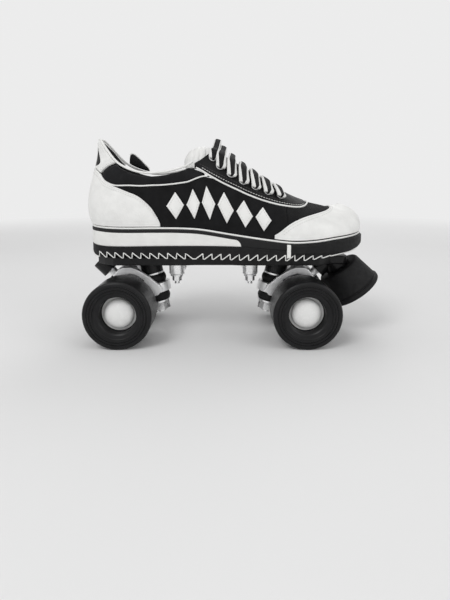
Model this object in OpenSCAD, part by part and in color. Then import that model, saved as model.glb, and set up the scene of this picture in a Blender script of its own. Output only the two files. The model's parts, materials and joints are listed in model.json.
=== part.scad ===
// Quad roller skate for a right foot: a low laced training shoe on a plate with two sprung trucks
// X runs from heel to toe, Y across the skate with the outer side negative, Z up from the ground
// All lengths are in millimetres

/* [Wheels] */
// Rolling diameter of a wheel
wheel_d = 64; // [58:0.5:70]
// Width of a wheel across its tread
wheel_w = 38; // [34:0.5:44]
// Distance from the centre line to a wheel's inner face
wheel_in = 24.5; // [22:0.5:30]
// Rounding of the tread's outer shoulder
shoulder_r = 2.5; // [1.5:0.5:6]
// Radius of the hard hub core
hub_r = 16.5; // [14:0.25:19]
// Depth of the recess that holds the hub cap
cap_depth = 12.5; // [8:0.5:13]
// Rim radius of the domed hub cap
cap_r = 14.2; // [12.5:0.1:16]
// Height of the hub cap's dome
cap_dome = 4.7; // [3.5:0.1:6]
// Outer diameter of a bearing
bearing_od = 22; // [20:0.5:24]
// Width of a bearing
bearing_w = 7; // [5:0.5:8]
// Distance between the two bearings of a wheel
bearing_gap = 5; // [4:0.5:8]
// Depth of the inner bearing behind the wheel's inner face
bearing_inset = 2; // [1:0.25:3]

/* [Trucks] */
// Distance between the two axles
wheelbase = 175; // [165:1:185]
// Position of the front axle along the skate
axle_front_x = 65.5; // [60:0.5:70]
// Diameter of an axle
axle_d = 8; // [7:0.5:9]
// Width of an axle nut across its flats
axle_nut_af = 13; // [11:0.5:14]
// Height of an axle nut
axle_nut_h = 6; // [4:0.5:6]
// Radius of the hanger's axle tube
tube_r = 9.5; // [8:0.5:11]
// Half length of the hanger's axle tube
tube_half = 21.5; // [19:0.5:23]
// Height of the plate's underside above the axle
truck_h = 40.6; // [39.5:0.1:46]
// Distance of the kingpin ring inboard of the axle
king_in = 27.5; // [26:0.5:30]
// Height of the kingpin ring above the axle
king_h = 14; // [13:0.5:15]
// Lean of the kingpin, its foot towards the middle of the skate
king_tilt = 12; // [8:1:14]
// Diameter of the kingpin
king_d = 10; // [8:0.5:11]
// Outer radius of the hanger's kingpin ring
ring_r = 15; // [14.5:0.25:16]
// Bore radius of the hanger's kingpin ring
ring_bore = 7; // [6.8:0.1:8]
// Thickness of the hanger's kingpin ring
ring_h = 9.5; // [8:0.5:10.5]
// Radius of a rubber cushion at its waist
cushion_r = 12.5; // [11:0.25:13]
// Height of a rubber cushion
cushion_h = 9; // [8:0.25:10]
// Thickness of a cushion cup
cup_t = 1.5; // [1:0.1:2]
// Half width of the hanger's arch
arch_half = 18; // [16.5:0.5:20]
// Thickness of the hanger's middle web
web_t = 13; // [8:1:18]
// Distance of the pivot ball outboard of the axle
pivot_out = 19; // [18:0.5:21]
// Height of the pivot ball above the axle
pivot_h = 33; // [32:0.25:34]
// Radius of the pivot ball
ball_r = 5; // [4:0.25:5.5]

/* [Plate] */
// Thickness of the plate
plate_t = 8; // [7:0.5:10]
// Half width of the plate under the trucks
pad_half = 26; // [24.5:0.5:30]
// Half width of the plate's waist
waist_half = 24; // [16:0.5:25.5]
// Distance of a mounting bolt inboard of its axle
bolt_in = 51; // [50:0.5:54]
// Distance of a mounting bolt from the centre line
bolt_y = 16; // [14:0.5:17]
// Diameter of a mounting bolt
bolt_d = 5; // [4:0.5:6]
// Length of a mounting lug under the plate
lug_h = 10.6; // [6:0.2:12]
// Radius of a mounting lug
lug_r = 7.5; // [6.5:0.25:8]
// Radius of the bosses round the kingpins
boss_r = 11; // [9:0.25:11.5]

/* [Toe stop] */
// Lean of the toe stop's axis forward of straight down
stop_lean = 36.87; // [34:0.5:39]
// Position of the middle of the toe stop's face along the skate
stop_x = 124.9; // [123:0.5:128]
// Height of the middle of the toe stop's face above the axles
stop_h = 9.8; // [6:0.2:10]
// Radius of the toe stop's face
stop_r = 28; // [24:0.5:30]
// Radius of the toe stop's top
stop_top_r = 22; // [18:0.5:23]
// Height of the toe stop's rubber
stop_len = 31.5; // [28:0.5:32]
// Diameter of the toe stop's stem
stem_d = 15.8; // [13:0.2:16.4]
// Length of stem above the rubber
stem_len = 10; // [8:0.5:10.5]

/* [Sole] */
// Thickness of the sole under the heel
heel_h = 27.4; // [25:0.2:32]
// Thickness of the sole under the ball of the foot
ball_h = 15.6; // [14.6:0.2:18]
// Height of the sole's top edge at the toe
toe_h = 21.6; // [20.4:0.2:25]
// Overhang of the sole outside the upper
sole_margin = 2.5; // [1.5:0.1:4]
// Thickness of the midsole over the heel wedge
mid_t = 3; // [2:0.1:4]
// Spacing of the teeth under the outsole
tooth_pitch = 8.5; // [6:0.5:14]
// Depth of the teeth under the outsole
tooth_depth = 5.2; // [2:0.2:6.4]
// Flat land on each tooth
tooth_land = 1.4; // [0.8:0.1:3]
// Thickness of the rubber bumper round the toe
bumper_t = 1.5; // [1:0.1:3]
// Width of the pale bar behind the toe bumper
bar_w = 3.4; // [2:0.2:6]
// Thickness of the insole
insole_t = 4; // [2:0.25:5]

/* [Upper] */
// Thickness of the quarters and the vamp
wall_t = 1.5; // [1:0.1:1.9]
// Thickness of the panels sewn on top
overlay_t = 1.1; // [0.7:0.1:1.6]
// Thickness of the padded collar
collar_t = 7.2; // [5:0.2:8]
// Radius of the piping round the top line
piping_r = 1.1; // [0.8:0.1:1.4]
// Radius of the bead along the sole's top edge
bead_r = 0.9; // [0.6:0.1:1.1]
// Width of a lozenge on the sides, as a share of its place in the row
lozenge_w = 0.86; // [0.6:0.02:0.94]
// Height of a lozenge on the sides, as a share of the side's height
lozenge_h = 0.64; // [0.4:0.02:0.7]
// Height of the padded lobe on the inner ankle
lobe_h = 10.8; // [8:0.2:14]
// Thickness of the tongue
tongue_t = 7; // [5:0.25:8]

/* [Lacing] */
// Width of the flat lace
lace_w = 8; // [5:0.2:8.4]
// Thickness of the flat lace
lace_t = 1.7; // [1.2:0.1:2.2]
// Bore radius of an eyelet
eyelet_r = 3; // [2.8:0.05:3.2]
// Rim radius of an eyelet
eyelet_rim = 4.6; // [4:0.1:5]

/* [Hidden] */
$fn = 64;
// Clearances: bonded or pressed, turning, soft against soft
fit = 0.04;
run = 0.08;
soft = 0.25;
sewn = 0.46;
axle_z = wheel_d / 2;
axle_rear_x = axle_front_x - wheelbase;
plate_z = axle_z + truck_h;
sole_z = plate_z + plate_t;
axle_r = axle_d / 2;
bolt_r = bolt_d / 2;
stem_r = stem_d / 2;
// Places along an axle, measured from a wheel's inner face
bearing_a = [bearing_inset, bearing_inset + bearing_w + bearing_gap];
race_end = bearing_a[1] + bearing_w;
washer_t = 1;
nut_a = race_end + washer_t;
hub_end = max(wheel_w - cap_depth, nut_a + axle_nut_h - 2.5);
axle_half = wheel_in + nut_a + axle_nut_h + 0.5;
race_r = axle_r + 2.5;
bearing_r = bearing_od / 2;
seat_r = bearing_r + fit;
// Stack of the kingpin, measured along it from the ring's middle
stack_gap = 0.2;
cushion_s = ring_h / 2 + stack_gap;
cup_s = cushion_s + cushion_h;
boss_s = cup_s + cup_t;
king_nut_h = 8.5;
king_nut_af = 17;
king_r = king_d / 2;
king_foot = boss_s + king_nut_h + 2;
king_head = boss_s + 12;
stack_clear = cushion_r + 1.8;
// Pivot cup in the plate and pin on the hanger, along a line that leans 45 degrees
cup_wall = 2.2;
socket_r = ball_r + 0.3;
pivot_cup_r = socket_r + cup_wall;
pivot_boss_r = pivot_cup_r + 2.2;
// Toe stop: its middle, and the stem's boss in the plate's nose
stop_at = [stop_x, 0, axle_z + stop_h];
nose_x = stop_x - 13;
stem_boss_r = stem_r + 5;
nut_w = 8;
nut_h = 5;
lug_foot = plate_z - lug_h;
bolt_foot = lug_foot - washer_t - nut_h - 3;
head_r = bolt_r + 2.5;
head_h = 2.4;
// Sole: top edge over the plate, heel to toe
feather_at = [
  [-151.5, heel_h + 1.5],
  [-119.5, heel_h],
  [-41.5, heel_h],
  [-1.5, ball_h + 0.56 * (heel_h - ball_h)],
  [29.5, ball_h + 0.2 * (heel_h - ball_h)],
  [52.5, ball_h],
  [73.5, ball_h + 0.13 * (toe_h - ball_h)],
  [93.5, ball_h + 0.5 * (toe_h - ball_h)],
  [136, toe_h + 0.4]
];
// Top of the outsole over the plate, heel to toe
outsole_at = [
  [-151.5, 16.5], [-144, 13], [-134, 11.2], [-119.5, 11], [-60, 12.2], [4, 12.6],
  [30, 10.6], [60, 9.4], [95, 10.8], [118, 13.6], [136, 18.6]
];
// Foot of the outsole over the plate: flat on the plate, then rising to the toe
ground_at = [[-60, 0], [58, 0], [72, 1.2], [84, 2.8], [95, 4.6], [109, 6.2], [118, 8.6], [126, 11.6], [136, 15.4]];
// Foot of the toe bumper over the plate, back to front
bumper_at = [[56, 6], [84, 6.2], [100, 7], [110, 7.6], [118, 9.2], [126, 12.2], [136, 16]];
// Width and height of the blocks that the sole's pieces are cut from
block = [200, 80];
wedge_tip = 4.5;
teeth_x = [-133, 96];
teeth_turn = -42;
// Last of the shoe: where each column starts on the sole and ends at the top line
// Columns run from the heel along the outer side to the toe: foot x, foot y, top x, top y, top height
outer_cols = [
  [-142, 0, -135.5, 0, 83.5],
  [-135.5, -18.5, -127.5, -14.5, 76.5],
  [-114.5, -31, -109.5, -25, 59.2],
  [-81.5, -34.5, -81.5, -30.5, 51.3],
  [-45.5, -37, -47.5, -29, 58],
  [-17.5, -40.5, -24.5, -16, 76.6],
  [13.5, -45, 11.5, -12.5, 63.3],
  [44.5, -47.5, 43.5, -9.5, 48.2],
  [74.5, -45.5, 70.5, 0, 36.4],
  [100.5, -35.5, 89.5, 0, 29],
  [117.5, -18, 101, 2, 25.5],
  [125, 5, 105.5, 4, 24]
];
// Foot of each column on the inner side, heel to toe
inner_feet = [
  [-135.5, 18.5], [-114.5, 30], [-81.5, 31.5], [-45.5, 28.5], [-17.5, 30],
  [13.5, 37], [44.5, 43.5], [74.5, 44.5], [101, 37.5], [118, 24]
];
col_n = 22;
toe_col = 11;
feet = [for (i = [0 : col_n - 1])
  i <= toe_col ? [outer_cols[i][0], outer_cols[i][1]] : inner_feet[col_n - 1 - i]];
tops = [for (i = [0 : col_n - 1]) let (r = outer_cols[min(i, col_n - i)])
  [r[2], i > toe_col && r[3] < 0 ? -r[3] : r[3], r[4]]];
// Swell of the sides low down, and of the ankle high up, by column
low_swell = [[0, 15], [1, 10], [2, 5], [3, 3], [5, 4], [7, 5], [9, 5], [11, 4.5]];
high_swell = [[0, -2], [1, 0.5], [2, 3], [3, 3.5], [4, 3]];
// Seams of the upper: share of a column's height, by column
collar_seam = [
  [0, 0.7], [1, 0.694], [1.33, 0.65], [1.66, 0.665], [1.87, 0.688], [2.4, 0.772],
  [3.03, 0.819], [3.56, 0.8], [3.83, 0.785], [4.26, 0.738], [4.84, 0.63]
];
collar_front = [[4.1, 1], [4.26, 0.93], [4.58, 0.752], [4.7, 0.698]];
stay_seam = [
  [4.2, 0.99], [4.58, 0.777], [4.91, 0.626], [5.23, 0.554], [5.5, 0.53], [6, 0.514],
  [6.38, 0.523], [6.76, 0.552], [7.16, 0.602], [7.57, 0.661], [7.7, 0.702], [7.87, 0.785], [8.05, 1]
];
stay_top = [[4.36, 0.965], [4.68, 0.905], [4.9, 0.925], [5.1, 0.985]];
quarter_top = [
  [0, 0.672], [1, 0.668], [1.33, 0.625], [1.66, 0.642], [1.87, 0.665], [2.4, 0.75], [3.03, 0.798], [3.56, 0.778],
  [3.83, 0.763], [4.26, 0.716], [4.84, 0.608], [5.23, 0.534], [5.5, 0.51], [6, 0.494], [6.38, 0.503],
  [6.76, 0.532], [7.1, 0.574]
];
vamp_top = [[7.1, 0.574], [7.5, 0.63], [7.7, 0.68], [7.87, 0.76], [7.97, 0.86], [8.05, 1]];
counter_top = [
  [0, 0.684], [0.96, 0.682], [1.33, 0.63], [1.66, 0.646], [1.88, 0.66], [2.18, 0.654],
  [2.65, 0.61], [2.91, 0.497], [3.08, 0.39], [3.21, 0.243], [3.29, 0.079]
];
cap_top = [
  [6.6, 0.07], [6.81, 0.13], [7.02, 0.238], [7.23, 0.33], [7.58, 0.443], [7.97, 0.541],
  [8.35, 0.625], [8.62, 0.695], [8.92, 0.815], [9.3, 1]
];
tab_foot = 0.69;
tab_edge = [[tab_foot, 1], [1, 1.76]];
insert_span = [0.71, 0.93];
counter_end = 3.28;
cap_start = 6.7;
stay_cols = [4.36, 7.86];
quarter_end = 7.095;
vamp_start = 7.105;
// Lozenges: columns of the row's two ends, and how many
lozenge_cols = [3.42, 6.66];
lozenge_n = 6;
// Lacing: columns of the top and bottom bar, how the bars crowd to the top, and the eyelets' share of the height
lace_n = 7;
lace_cols = [5.1, 6.95];
lace_crowd = 1.25;
eyelet_at = [[5.1, 0.88], [5.3, 0.76], [5.57, 0.7], [5.88, 0.675], [6.2, 0.68], [6.57, 0.7], [6.95, 0.745]];

// Small helpers
function unit(v) = v / norm(v);
function flat(l) = [for (a = l) for (b = a) b];
function blend(a, b, x) = let (u = min(1, max(0, (x - a) / (b - a)))) u * u * (3 - 2 * u);
function arc(cx, cy, r, a0, a1, n) = [for (i = [0 : n]) let (a = a0 + (a1 - a0) * i / n) [cx + r * cos(a), cy + r * sin(a)]];
function round_pow(v, p) = sign(v) * pow(abs(v), p);

// Smooth height along a list of [x, height]
function step_at(l, x) = max([for (k = [0 : len(l) - 2]) k == 0 || x >= l[k][0] ? k : 0]);
function slope(l, k) = let (a = max(0, k - 1), b = min(len(l) - 1, k + 1)) (l[b][1] - l[a][1]) / (l[b][0] - l[a][0]);
function smooth_at(l, x) =
  let (i = step_at(l, x), w = l[i + 1][0] - l[i][0], u = min(1, max(0, (x - l[i][0]) / w)))
  (2 * u * u * u - 3 * u * u + 1) * l[i][1] + (u * u * u - 2 * u * u + u) * w * slope(l, i)
  + (3 * u * u - 2 * u * u * u) * l[i + 1][1] + (u * u * u - u * u) * w * slope(l, i + 1);
function feather(x) = smooth_at(feather_at, x);
function outsole_top(x) = smooth_at(outsole_at, x);
function ground(x) = max(0, smooth_at(ground_at, x));
function run_x(a, b, n) = [for (i = [0 : n]) a + (b - a) * i / n];

// Smooth closed curve through a list of points
function knot(p, q, r, s, f) =
  0.5 * (2 * q + (r - p) * f + (2 * p - 5 * q + 4 * r - s) * f * f + (3 * q - p - 3 * r + s) * f * f * f);
function pick(l, i) = l[((i % len(l)) + len(l)) % len(l)];
function ring_at(l, c) =
  let (i = floor(c)) knot(pick(l, i - 1), pick(l, i), pick(l, i + 1), pick(l, i + 2), c - i);
function side_col(c) = let (m = ((c % col_n) + col_n) % col_n) min(m, col_n - m);

// Surface of the last at column c and share t of its height, and the way out of it
function foot_out(c) = let (d = ring_at(feet, c + 0.01) - ring_at(feet, c - 0.01)) unit([d[1], -d[0], 0]);
function skin(c, t) =
  let (
    b = ring_at(feet, c), a = ring_at(tops, c), o = foot_out(c), k = side_col(c),
    p0 = [b[0], b[1], sole_z + feather(b[0]) + soft],
    p3 = [a[0], a[1], sole_z + feather(b[0]) + a[2]],
    h = p3[2] - p0[2], d = norm([p3[0] - p0[0], p3[1] - p0[1]]), w = blend(3.6, 6, k),
    p1 = p0 + o * lookup(k, low_swell) + [0, 0, h / 3 * (1 + 0.15 * w)],
    p2 = p3 + o * (lookup(k, high_swell) * (1 - w) + 0.52 * d * w) - [0, 0, h / 3 * (1 - w) + 0.05 * h * w],
    u = 1 - t
  ) u * u * u * p0 + 3 * u * u * t * p1 + 3 * u * t * t * p2 + t * t * t * p3;
function skin_out(c, t) =
  let (s = min(0.97, max(0.02, t)), e = 0.01)
  unit(cross(skin(c + e, s) - skin(c - e, s), skin(c, s + e) - skin(c, s - e)));
function lifted(c, t, h) =
  skin(c, t) + h * (t >= 1 && side_col(c) > 8 ? unit(skin_out(c, t) + skin_out(-c, t)) : skin_out(c, t));

// Closed panel between two heights over a grid of [column, share]; the two sides meet where seam is true
module panel(grid, low, high, seam = false) {
  n = len(grid) - 1;
  m = len(grid[0]) - 1;
  size = (n + 1) * (m + 1);
  points = concat(
    [for (g = flat(grid)) lifted(g[0], g[1], high)],
    [for (g = flat(grid)) lifted(g[0], g[1], low)]
  );
  met = [for (g = grid) seam && g[m][1] >= 1];
  function id(i, j) = j == m && met[i] && i > n / 2 ? (n - i) * (m + 1) + m : i * (m + 1) + j;
  skin_faces = [for (i = [0 : n - 1]) for (j = [0 : m - 1])
    let (a = id(i, j), b = id(i + 1, j), c = id(i + 1, j + 1), d = id(i, j + 1))
    each [[a, d, c], [a, c, b], [a + size, c + size, d + size], [a + size, b + size, c + size]]];
  edge = concat(
    [for (j = [0 : m - 1]) [id(0, j + 1), id(0, j)]],
    [for (j = [0 : m - 1]) [id(n, j), id(n, j + 1)]],
    [for (i = [0 : n - 1]) [id(i, 0), id(i + 1, 0)]],
    [for (i = [0 : n - 1]) if (!(met[i] && met[i + 1])) [id(i + 1, m), id(i, m)]]
  );
  edge_faces = [for (e = edge) each [[e[0], e[1], e[1] + size], [e[0], e[1] + size, e[0] + size]]];
  polyhedron(points = points, faces = concat(skin_faces, edge_faces), convexity = 6);
}
function bead_share(c) = (2 * bead_r + 0.6) / ring_at(tops, c)[2];
function share_at(v, c) = is_undef(v) ? bead_share(c) : is_list(v) ? lookup(side_col(c), v) : v;
function span_grid(c0, c1, n, m, low, high) =
  [for (i = [0 : n]) let (c = c0 + (c1 - c0) * i / n, a = share_at(low, c), b = share_at(high, c))
    [for (j = [0 : m]) [c, (a * (m - j) + b * j) / m]]];
function other_side(grid) = [for (i = [len(grid) - 1 : -1 : 0]) [for (g = grid[i]) [-g[0], g[1]]]];

// Closed tube through rings of points, with ends capped or joined up
module loft(rings, joined = false) {
  n = len(rings);
  k = len(rings[0]);
  last = joined ? n - 1 : n - 2;
  middle = [for (r = [rings[0], rings[n - 1]]) [for (a = [0 : 2]) [for (p = r) p[a]] * [for (p = r) 1 / k]]];
  sides = [for (i = [0 : last]) for (j = [0 : k - 1])
    let (a = i * k + j, b = i * k + (j + 1) % k, c = ((i + 1) % n) * k + (j + 1) % k, d = ((i + 1) % n) * k + j)
    each [[a, c, b], [a, d, c]]];
  ends = joined ? [] : [for (j = [0 : k - 1]) each
    [[j, (j + 1) % k, n * k], [(n - 1) * k + j, n * k + 1, (n - 1) * k + (j + 1) % k]]];
  polyhedron(points = concat(flat(rings), middle), faces = concat(sides, ends), convexity = 6);
}

// Placing a wheel's pieces: front or rear axle, outer side -1 or inner side 1
module at_wheel(axle_x, side) {
  translate([axle_x, 0, axle_z])
    rotate([-90 * side, 0, 0])
      translate([0, 0, wheel_in])
        children();
}
// Placing a truck's pieces: the front one as drawn, the rear one turned end for end
module at_truck(front) {
  translate([front ? axle_front_x : axle_rear_x, 0, axle_z])
    mirror([front ? 0 : 1, 0, 0])
      children();
}
module along_king() {
  translate([-king_in, 0, king_h])
    rotate([0, king_tilt, 0])
      children();
}
module along_pivot() {
  translate([pivot_out, 0, pivot_h])
    rotate([0, 45, 0])
      children();
}
module along_stop() {
  translate(stop_at)
    rotate([0, -stop_lean, 0])
      children();
}
module ring(r_in, r_out, h) {
  difference() {
    cylinder(r = r_out, h = h);
    translate([0, 0, -1])
      cylinder(r = r_in, h = h + 2);
  }
}
module hex(af, h, bore) {
  difference() {
    cylinder(d = af / cos(30), h = h, $fn = 6);
    translate([0, 0, -1])
      cylinder(r = bore, h = h + 2);
  }
}
module upright(depth) {
  rotate([90, 0, 0])
    linear_extrude(height = depth, center = true)
      children();
}

// Wheels
module wheel_tyre() {
  r = wheel_d / 2;
  wall_r = hub_r + 0.8;
  step_r = wall_r + 4.8;
  inner_r = 3.5;
  profile = concat(
    [[hub_r + fit, 2.5], [step_r, 2.5], [step_r + 1, 0.6], [r - inner_r - 1, 0]],
    arc(r - inner_r, inner_r, inner_r, -90, 0, 6),
    arc(r - shoulder_r, wheel_w - shoulder_r, shoulder_r, 0, 90, 8),
    [[step_r + 0.6, wheel_w], [step_r, wheel_w - 1.4], [wall_r + 0.8, wheel_w - 2]],
    [[wall_r, wheel_w - 2.8], [wall_r, hub_end], [hub_r + fit, hub_end]]
  );
  rotate_extrude()
    polygon(profile);
}
module wheel_hub() {
  shoulder = bearing_r - 1.5;
  profile = [
    [seat_r, 1], [hub_r - 1, 1], [hub_r, 2], [hub_r, hub_end], [seat_r, hub_end],
    [seat_r, bearing_a[1]], [shoulder, bearing_a[1]],
    [shoulder, bearing_a[0] + bearing_w], [seat_r, bearing_a[0] + bearing_w]
  ];
  rotate_extrude()
    polygon(profile);
}
module wheel_bearings() {
  shield_r = bearing_r - 1.8;
  dip = 0.6;
  for (a = bearing_a) {
    rotate_extrude()
      polygon([
        [race_r + run, a + dip], [shield_r, a + dip], [shield_r, a], [bearing_r, a],
        [bearing_r, a + bearing_w], [shield_r, a + bearing_w],
        [shield_r, a + bearing_w - dip], [race_r + run, a + bearing_w - dip]
      ]);
  }
}
module wheel_cap() {
  rim = 1.1;
  skirt_r = bearing_r - 0.05;
  wall = 1.2;
  bore_r = skirt_r - wall;
  dome = [for (i = [0 : 10]) let (a = 90 * i / 10) [cap_r * cos(a), hub_end + rim + cap_dome * sin(a)]];
  under = [for (i = [10 : -1 : 0]) let (a = 48 + 42 * i / 10) [bore_r / cos(48) * cos(a), hub_end + rim - wall + cap_dome * sin(a)]];
  rotate_extrude()
    polygon(concat(
      [[bore_r, hub_end - 2.6], [skirt_r, hub_end - 2.6], [skirt_r, hub_end], [cap_r, hub_end]],
      dome,
      under
    ));
}

// Trucks
module hanger_body() {
  arch_top = min(truck_h - 3.4, 37.2);
  outline = [
    [tube_r, 0], [tube_r + 2.5, 12], [tube_r + 3.2, 22], [10.5, 31], [7.5, 35], [3, arch_top],
    [-5, arch_top], [-10, 35.6], [-15, 33], [-24, 27], [-33, 19.5], [-36, 14], [-32, 9],
    [-20, 6], [-tube_r, -1], [-6, -6], [6, -6]
  ];
  pocket = [[5.5, 8], [7.5, 19], [4, 28.5], [-4, 31], [-12, 28.5], [-18, 24], [-15, 13], [-7, 8.5]];
  difference() {
    union() {
      difference() {
        upright(2 * arch_half)
          polygon(outline);
        for (s = [-1, 1]) {
          translate([0, s * (web_t / 2 + arch_half / 2), 0])
            upright(arch_half)
              polygon(pocket);
        }
        along_king()
          for (a = [0, 180]) {
            rotate([a, 0, 0])
              translate([0, 0, ring_h / 2])
                cylinder(r = stack_clear, h = 40);
          }
      }
      rotate([90, 0, 0])
        cylinder(r = tube_r, h = 2 * tube_half, center = true);
      along_king()
        cylinder(r = ring_r, h = ring_h, center = true);
      along_pivot()
        translate([0, 0, -22])
          cylinder(r = ball_r + 2, h = 14);
      along_pivot()
        translate([0, 0, -12])
          cylinder(r = ball_r - 0.8, h = 12);
      along_pivot()
        sphere(r = ball_r);
    }
    rotate([90, 0, 0])
      cylinder(r = axle_r + fit, h = 4 * tube_half, center = true);
    along_king()
      cylinder(r = ring_bore, h = ring_h + 2, center = true);
  }
}
module axle_rod() {
  rotate([90, 0, 0])
    cylinder(r = axle_r, h = 2 * axle_half, center = true);
}
module both_ends(axle_x) {
  for (s = [-1, 1]) {
    at_wheel(axle_x, s)
      children();
  }
}
module races(axle_x) {
  both_ends(axle_x) {
    for (a = bearing_a) {
      translate([0, 0, a])
        ring(axle_r + fit, race_r, bearing_w);
    }
    translate([0, 0, bearing_a[0] + bearing_w])
      ring(axle_r + fit, race_r - 0.8, bearing_gap);
  }
}
module axle_washers(axle_x) {
  inner_len = wheel_in + bearing_inset - tube_half;
  both_ends(axle_x) {
    translate([0, 0, bearing_inset - inner_len])
      ring(axle_r + fit, race_r - 0.4, inner_len);
    translate([0, 0, race_end])
      ring(axle_r + fit, race_r + 0.6, washer_t);
  }
}
module axle_nuts(axle_x) {
  both_ends(axle_x)
    translate([0, 0, nut_a])
      hex(axle_nut_af, axle_nut_h, axle_r + fit);
}
module cushion_pair() {
  bore = king_r + 0.3;
  waist = cushion_r;
  end = cushion_r - 1.2;
  along_king()
    for (s = [cushion_s, -cushion_s - cushion_h]) {
      translate([0, 0, s])
        rotate_extrude()
          polygon(concat(
            [[bore, 0], [end, 0]],
            [for (i = [0 : 8]) let (a = 180 * i / 8) [end + (waist - end) * sin(a), 0.6 + (cushion_h - 1.2) * i / 8]],
            [[end, cushion_h], [bore, cushion_h]]
          ));
    }
}
module cup_pair() {
  along_king() {
    translate([0, 0, cup_s])
      ring(king_r + fit, cushion_r - 1, cup_t);
    translate([0, 0, -cup_s - cup_t])
      ring(king_r + fit, cushion_r - 1, cup_t);
  }
}
module kingpin() {
  along_king()
    translate([0, 0, -king_foot])
      cylinder(r = king_r, h = king_foot + king_head);
}
module kingpin_nut() {
  along_king()
    translate([0, 0, -boss_s - king_nut_h])
      hex(king_nut_af, king_nut_h, king_r + fit);
}
module pivot_cup() {
  along_pivot()
    difference() {
      translate([0, 0, -1.5])
        cylinder(r = pivot_cup_r, h = socket_r + cup_wall + 1.5);
      sphere(r = socket_r);
      translate([0, 0, -3])
        cylinder(r = socket_r, h = 3);
    }
}

// Plate with its truck bosses and toe stop nose
module mount_spots() {
  for (front = [true, false]) {
    for (s = [-1, 1]) {
      translate([front ? axle_front_x - bolt_in : axle_rear_x + bolt_in, s * bolt_y, 0])
        children();
    }
  }
}
module plate_outline() {
  tail = axle_rear_x - pivot_out - 9;
  rear_pad = axle_rear_x + bolt_in + lug_r + 1.5;
  front_pad = axle_front_x - bolt_in - lug_r - 1.5;
  neck = axle_front_x + 16;
  slope_x = 9;
  nose_half = stem_boss_r + 2;
  half = [
    [tail, 12], [tail + 8, 19], [axle_rear_x - 10, pad_half], [rear_pad, pad_half],
    [rear_pad + slope_x, waist_half], [front_pad - slope_x, waist_half],
    [front_pad, pad_half], [neck, pad_half], [neck + 14, nose_half], [nose_x - 4, nose_half], [nose_x, nose_half - 4]
  ];
  polygon(concat(half, [for (i = [len(half) - 1 : -1 : 0]) [half[i][0], -half[i][1]]]));
}
module plate() {
  color([0.06, 0.06, 0.065])
    difference() {
      union() {
        translate([0, 0, plate_z])
          linear_extrude(height = plate_t)
            plate_outline();
        for (front = [true, false]) {
          at_truck(front) {
            along_king()
              translate([0, 0, boss_s])
                cylinder(r = boss_r, h = (truck_h + 3 - king_h) / cos(king_tilt) - boss_s);
            along_pivot()
              translate([0, 0, -1.5])
                cylinder(r = pivot_boss_r, h = (truck_h + 2 - pivot_h) * sqrt(2) + 1.5);
          }
        }
        intersection() {
          along_stop()
            translate([0, 0, stop_len + 0.6])
              cylinder(r = stem_boss_r, h = 30);
          translate([nose_x - 40, -30, 0])
            cube([60, 60, sole_z]);
        }
      }
      mount_spots()
        cylinder(r = bolt_r + run, h = sole_z + 10);
      for (front = [true, false]) {
        at_truck(front) {
          along_king()
            translate([0, 0, boss_s - 1])
              cylinder(r = king_r + fit, h = king_head - boss_s + 1.5);
          along_pivot()
            translate([0, 0, -2])
              cylinder(r = pivot_cup_r + fit, h = socket_r + cup_wall + 2 + fit);
        }
      }
      along_stop()
        translate([0, 0, stop_len])
          cylinder(r = stem_r + run, h = 40);
    }
}
module mount_lugs() {
  bevel = 1.6;
  color([0.78, 0.79, 0.8])
    mount_spots()
      translate([0, 0, lug_foot])
        rotate_extrude()
          polygon([
            [bolt_r + run, 0], [lug_r - bevel, 0], [lug_r, bevel], [lug_r, lug_h], [bolt_r + run, lug_h]
          ]);
}
function head_top(x) = sole_z + min(feather(x - head_r), feather(x + head_r)) - 0.2;
module mount_bolts() {
  color([0.78, 0.79, 0.8])
    for (front = [true, false]) {
      x = front ? axle_front_x - bolt_in : axle_rear_x + bolt_in;
      top = head_top(x);
      for (s = [-1, 1]) {
        translate([x, s * bolt_y, 0]) {
          translate([0, 0, bolt_foot])
            cylinder(r = bolt_r, h = top - bolt_foot);
          translate([0, 0, top - head_h])
            cylinder(r = head_r, h = head_h);
        }
      }
    }
}
module mount_washers() {
  color([0.78, 0.79, 0.8])
    mount_spots()
      translate([0, 0, lug_foot - washer_t])
        ring(bolt_r + fit, lug_r - 1.2, washer_t);
}
module mount_nuts() {
  color([0.78, 0.79, 0.8])
    mount_spots()
      translate([0, 0, lug_foot - washer_t - nut_h])
        hex(nut_w, nut_h, bolt_r + fit);
}

// Toe stop
module toe_stop_rubber() {
  lip = 5;
  color([0.04, 0.04, 0.042])
    along_stop()
      difference() {
        rotate_extrude()
          polygon([
            [0, 0], [stop_r - 1.2, 0], [stop_r, 1.2], [stop_r, lip], [stop_r - 1, lip + 0.8],
            [stop_top_r, stop_len - 1], [stop_top_r - 1, stop_len], [0, stop_len]
          ]);
        translate([0, 0, stop_len - 12])
          cylinder(r = stem_r + fit, h = 20);
      }
}
module toe_stop_stem() {
  color([0.78, 0.79, 0.8])
    along_stop()
      translate([0, 0, stop_len - 12])
        cylinder(r = stem_r, h = 12 + stem_len);
}

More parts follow.
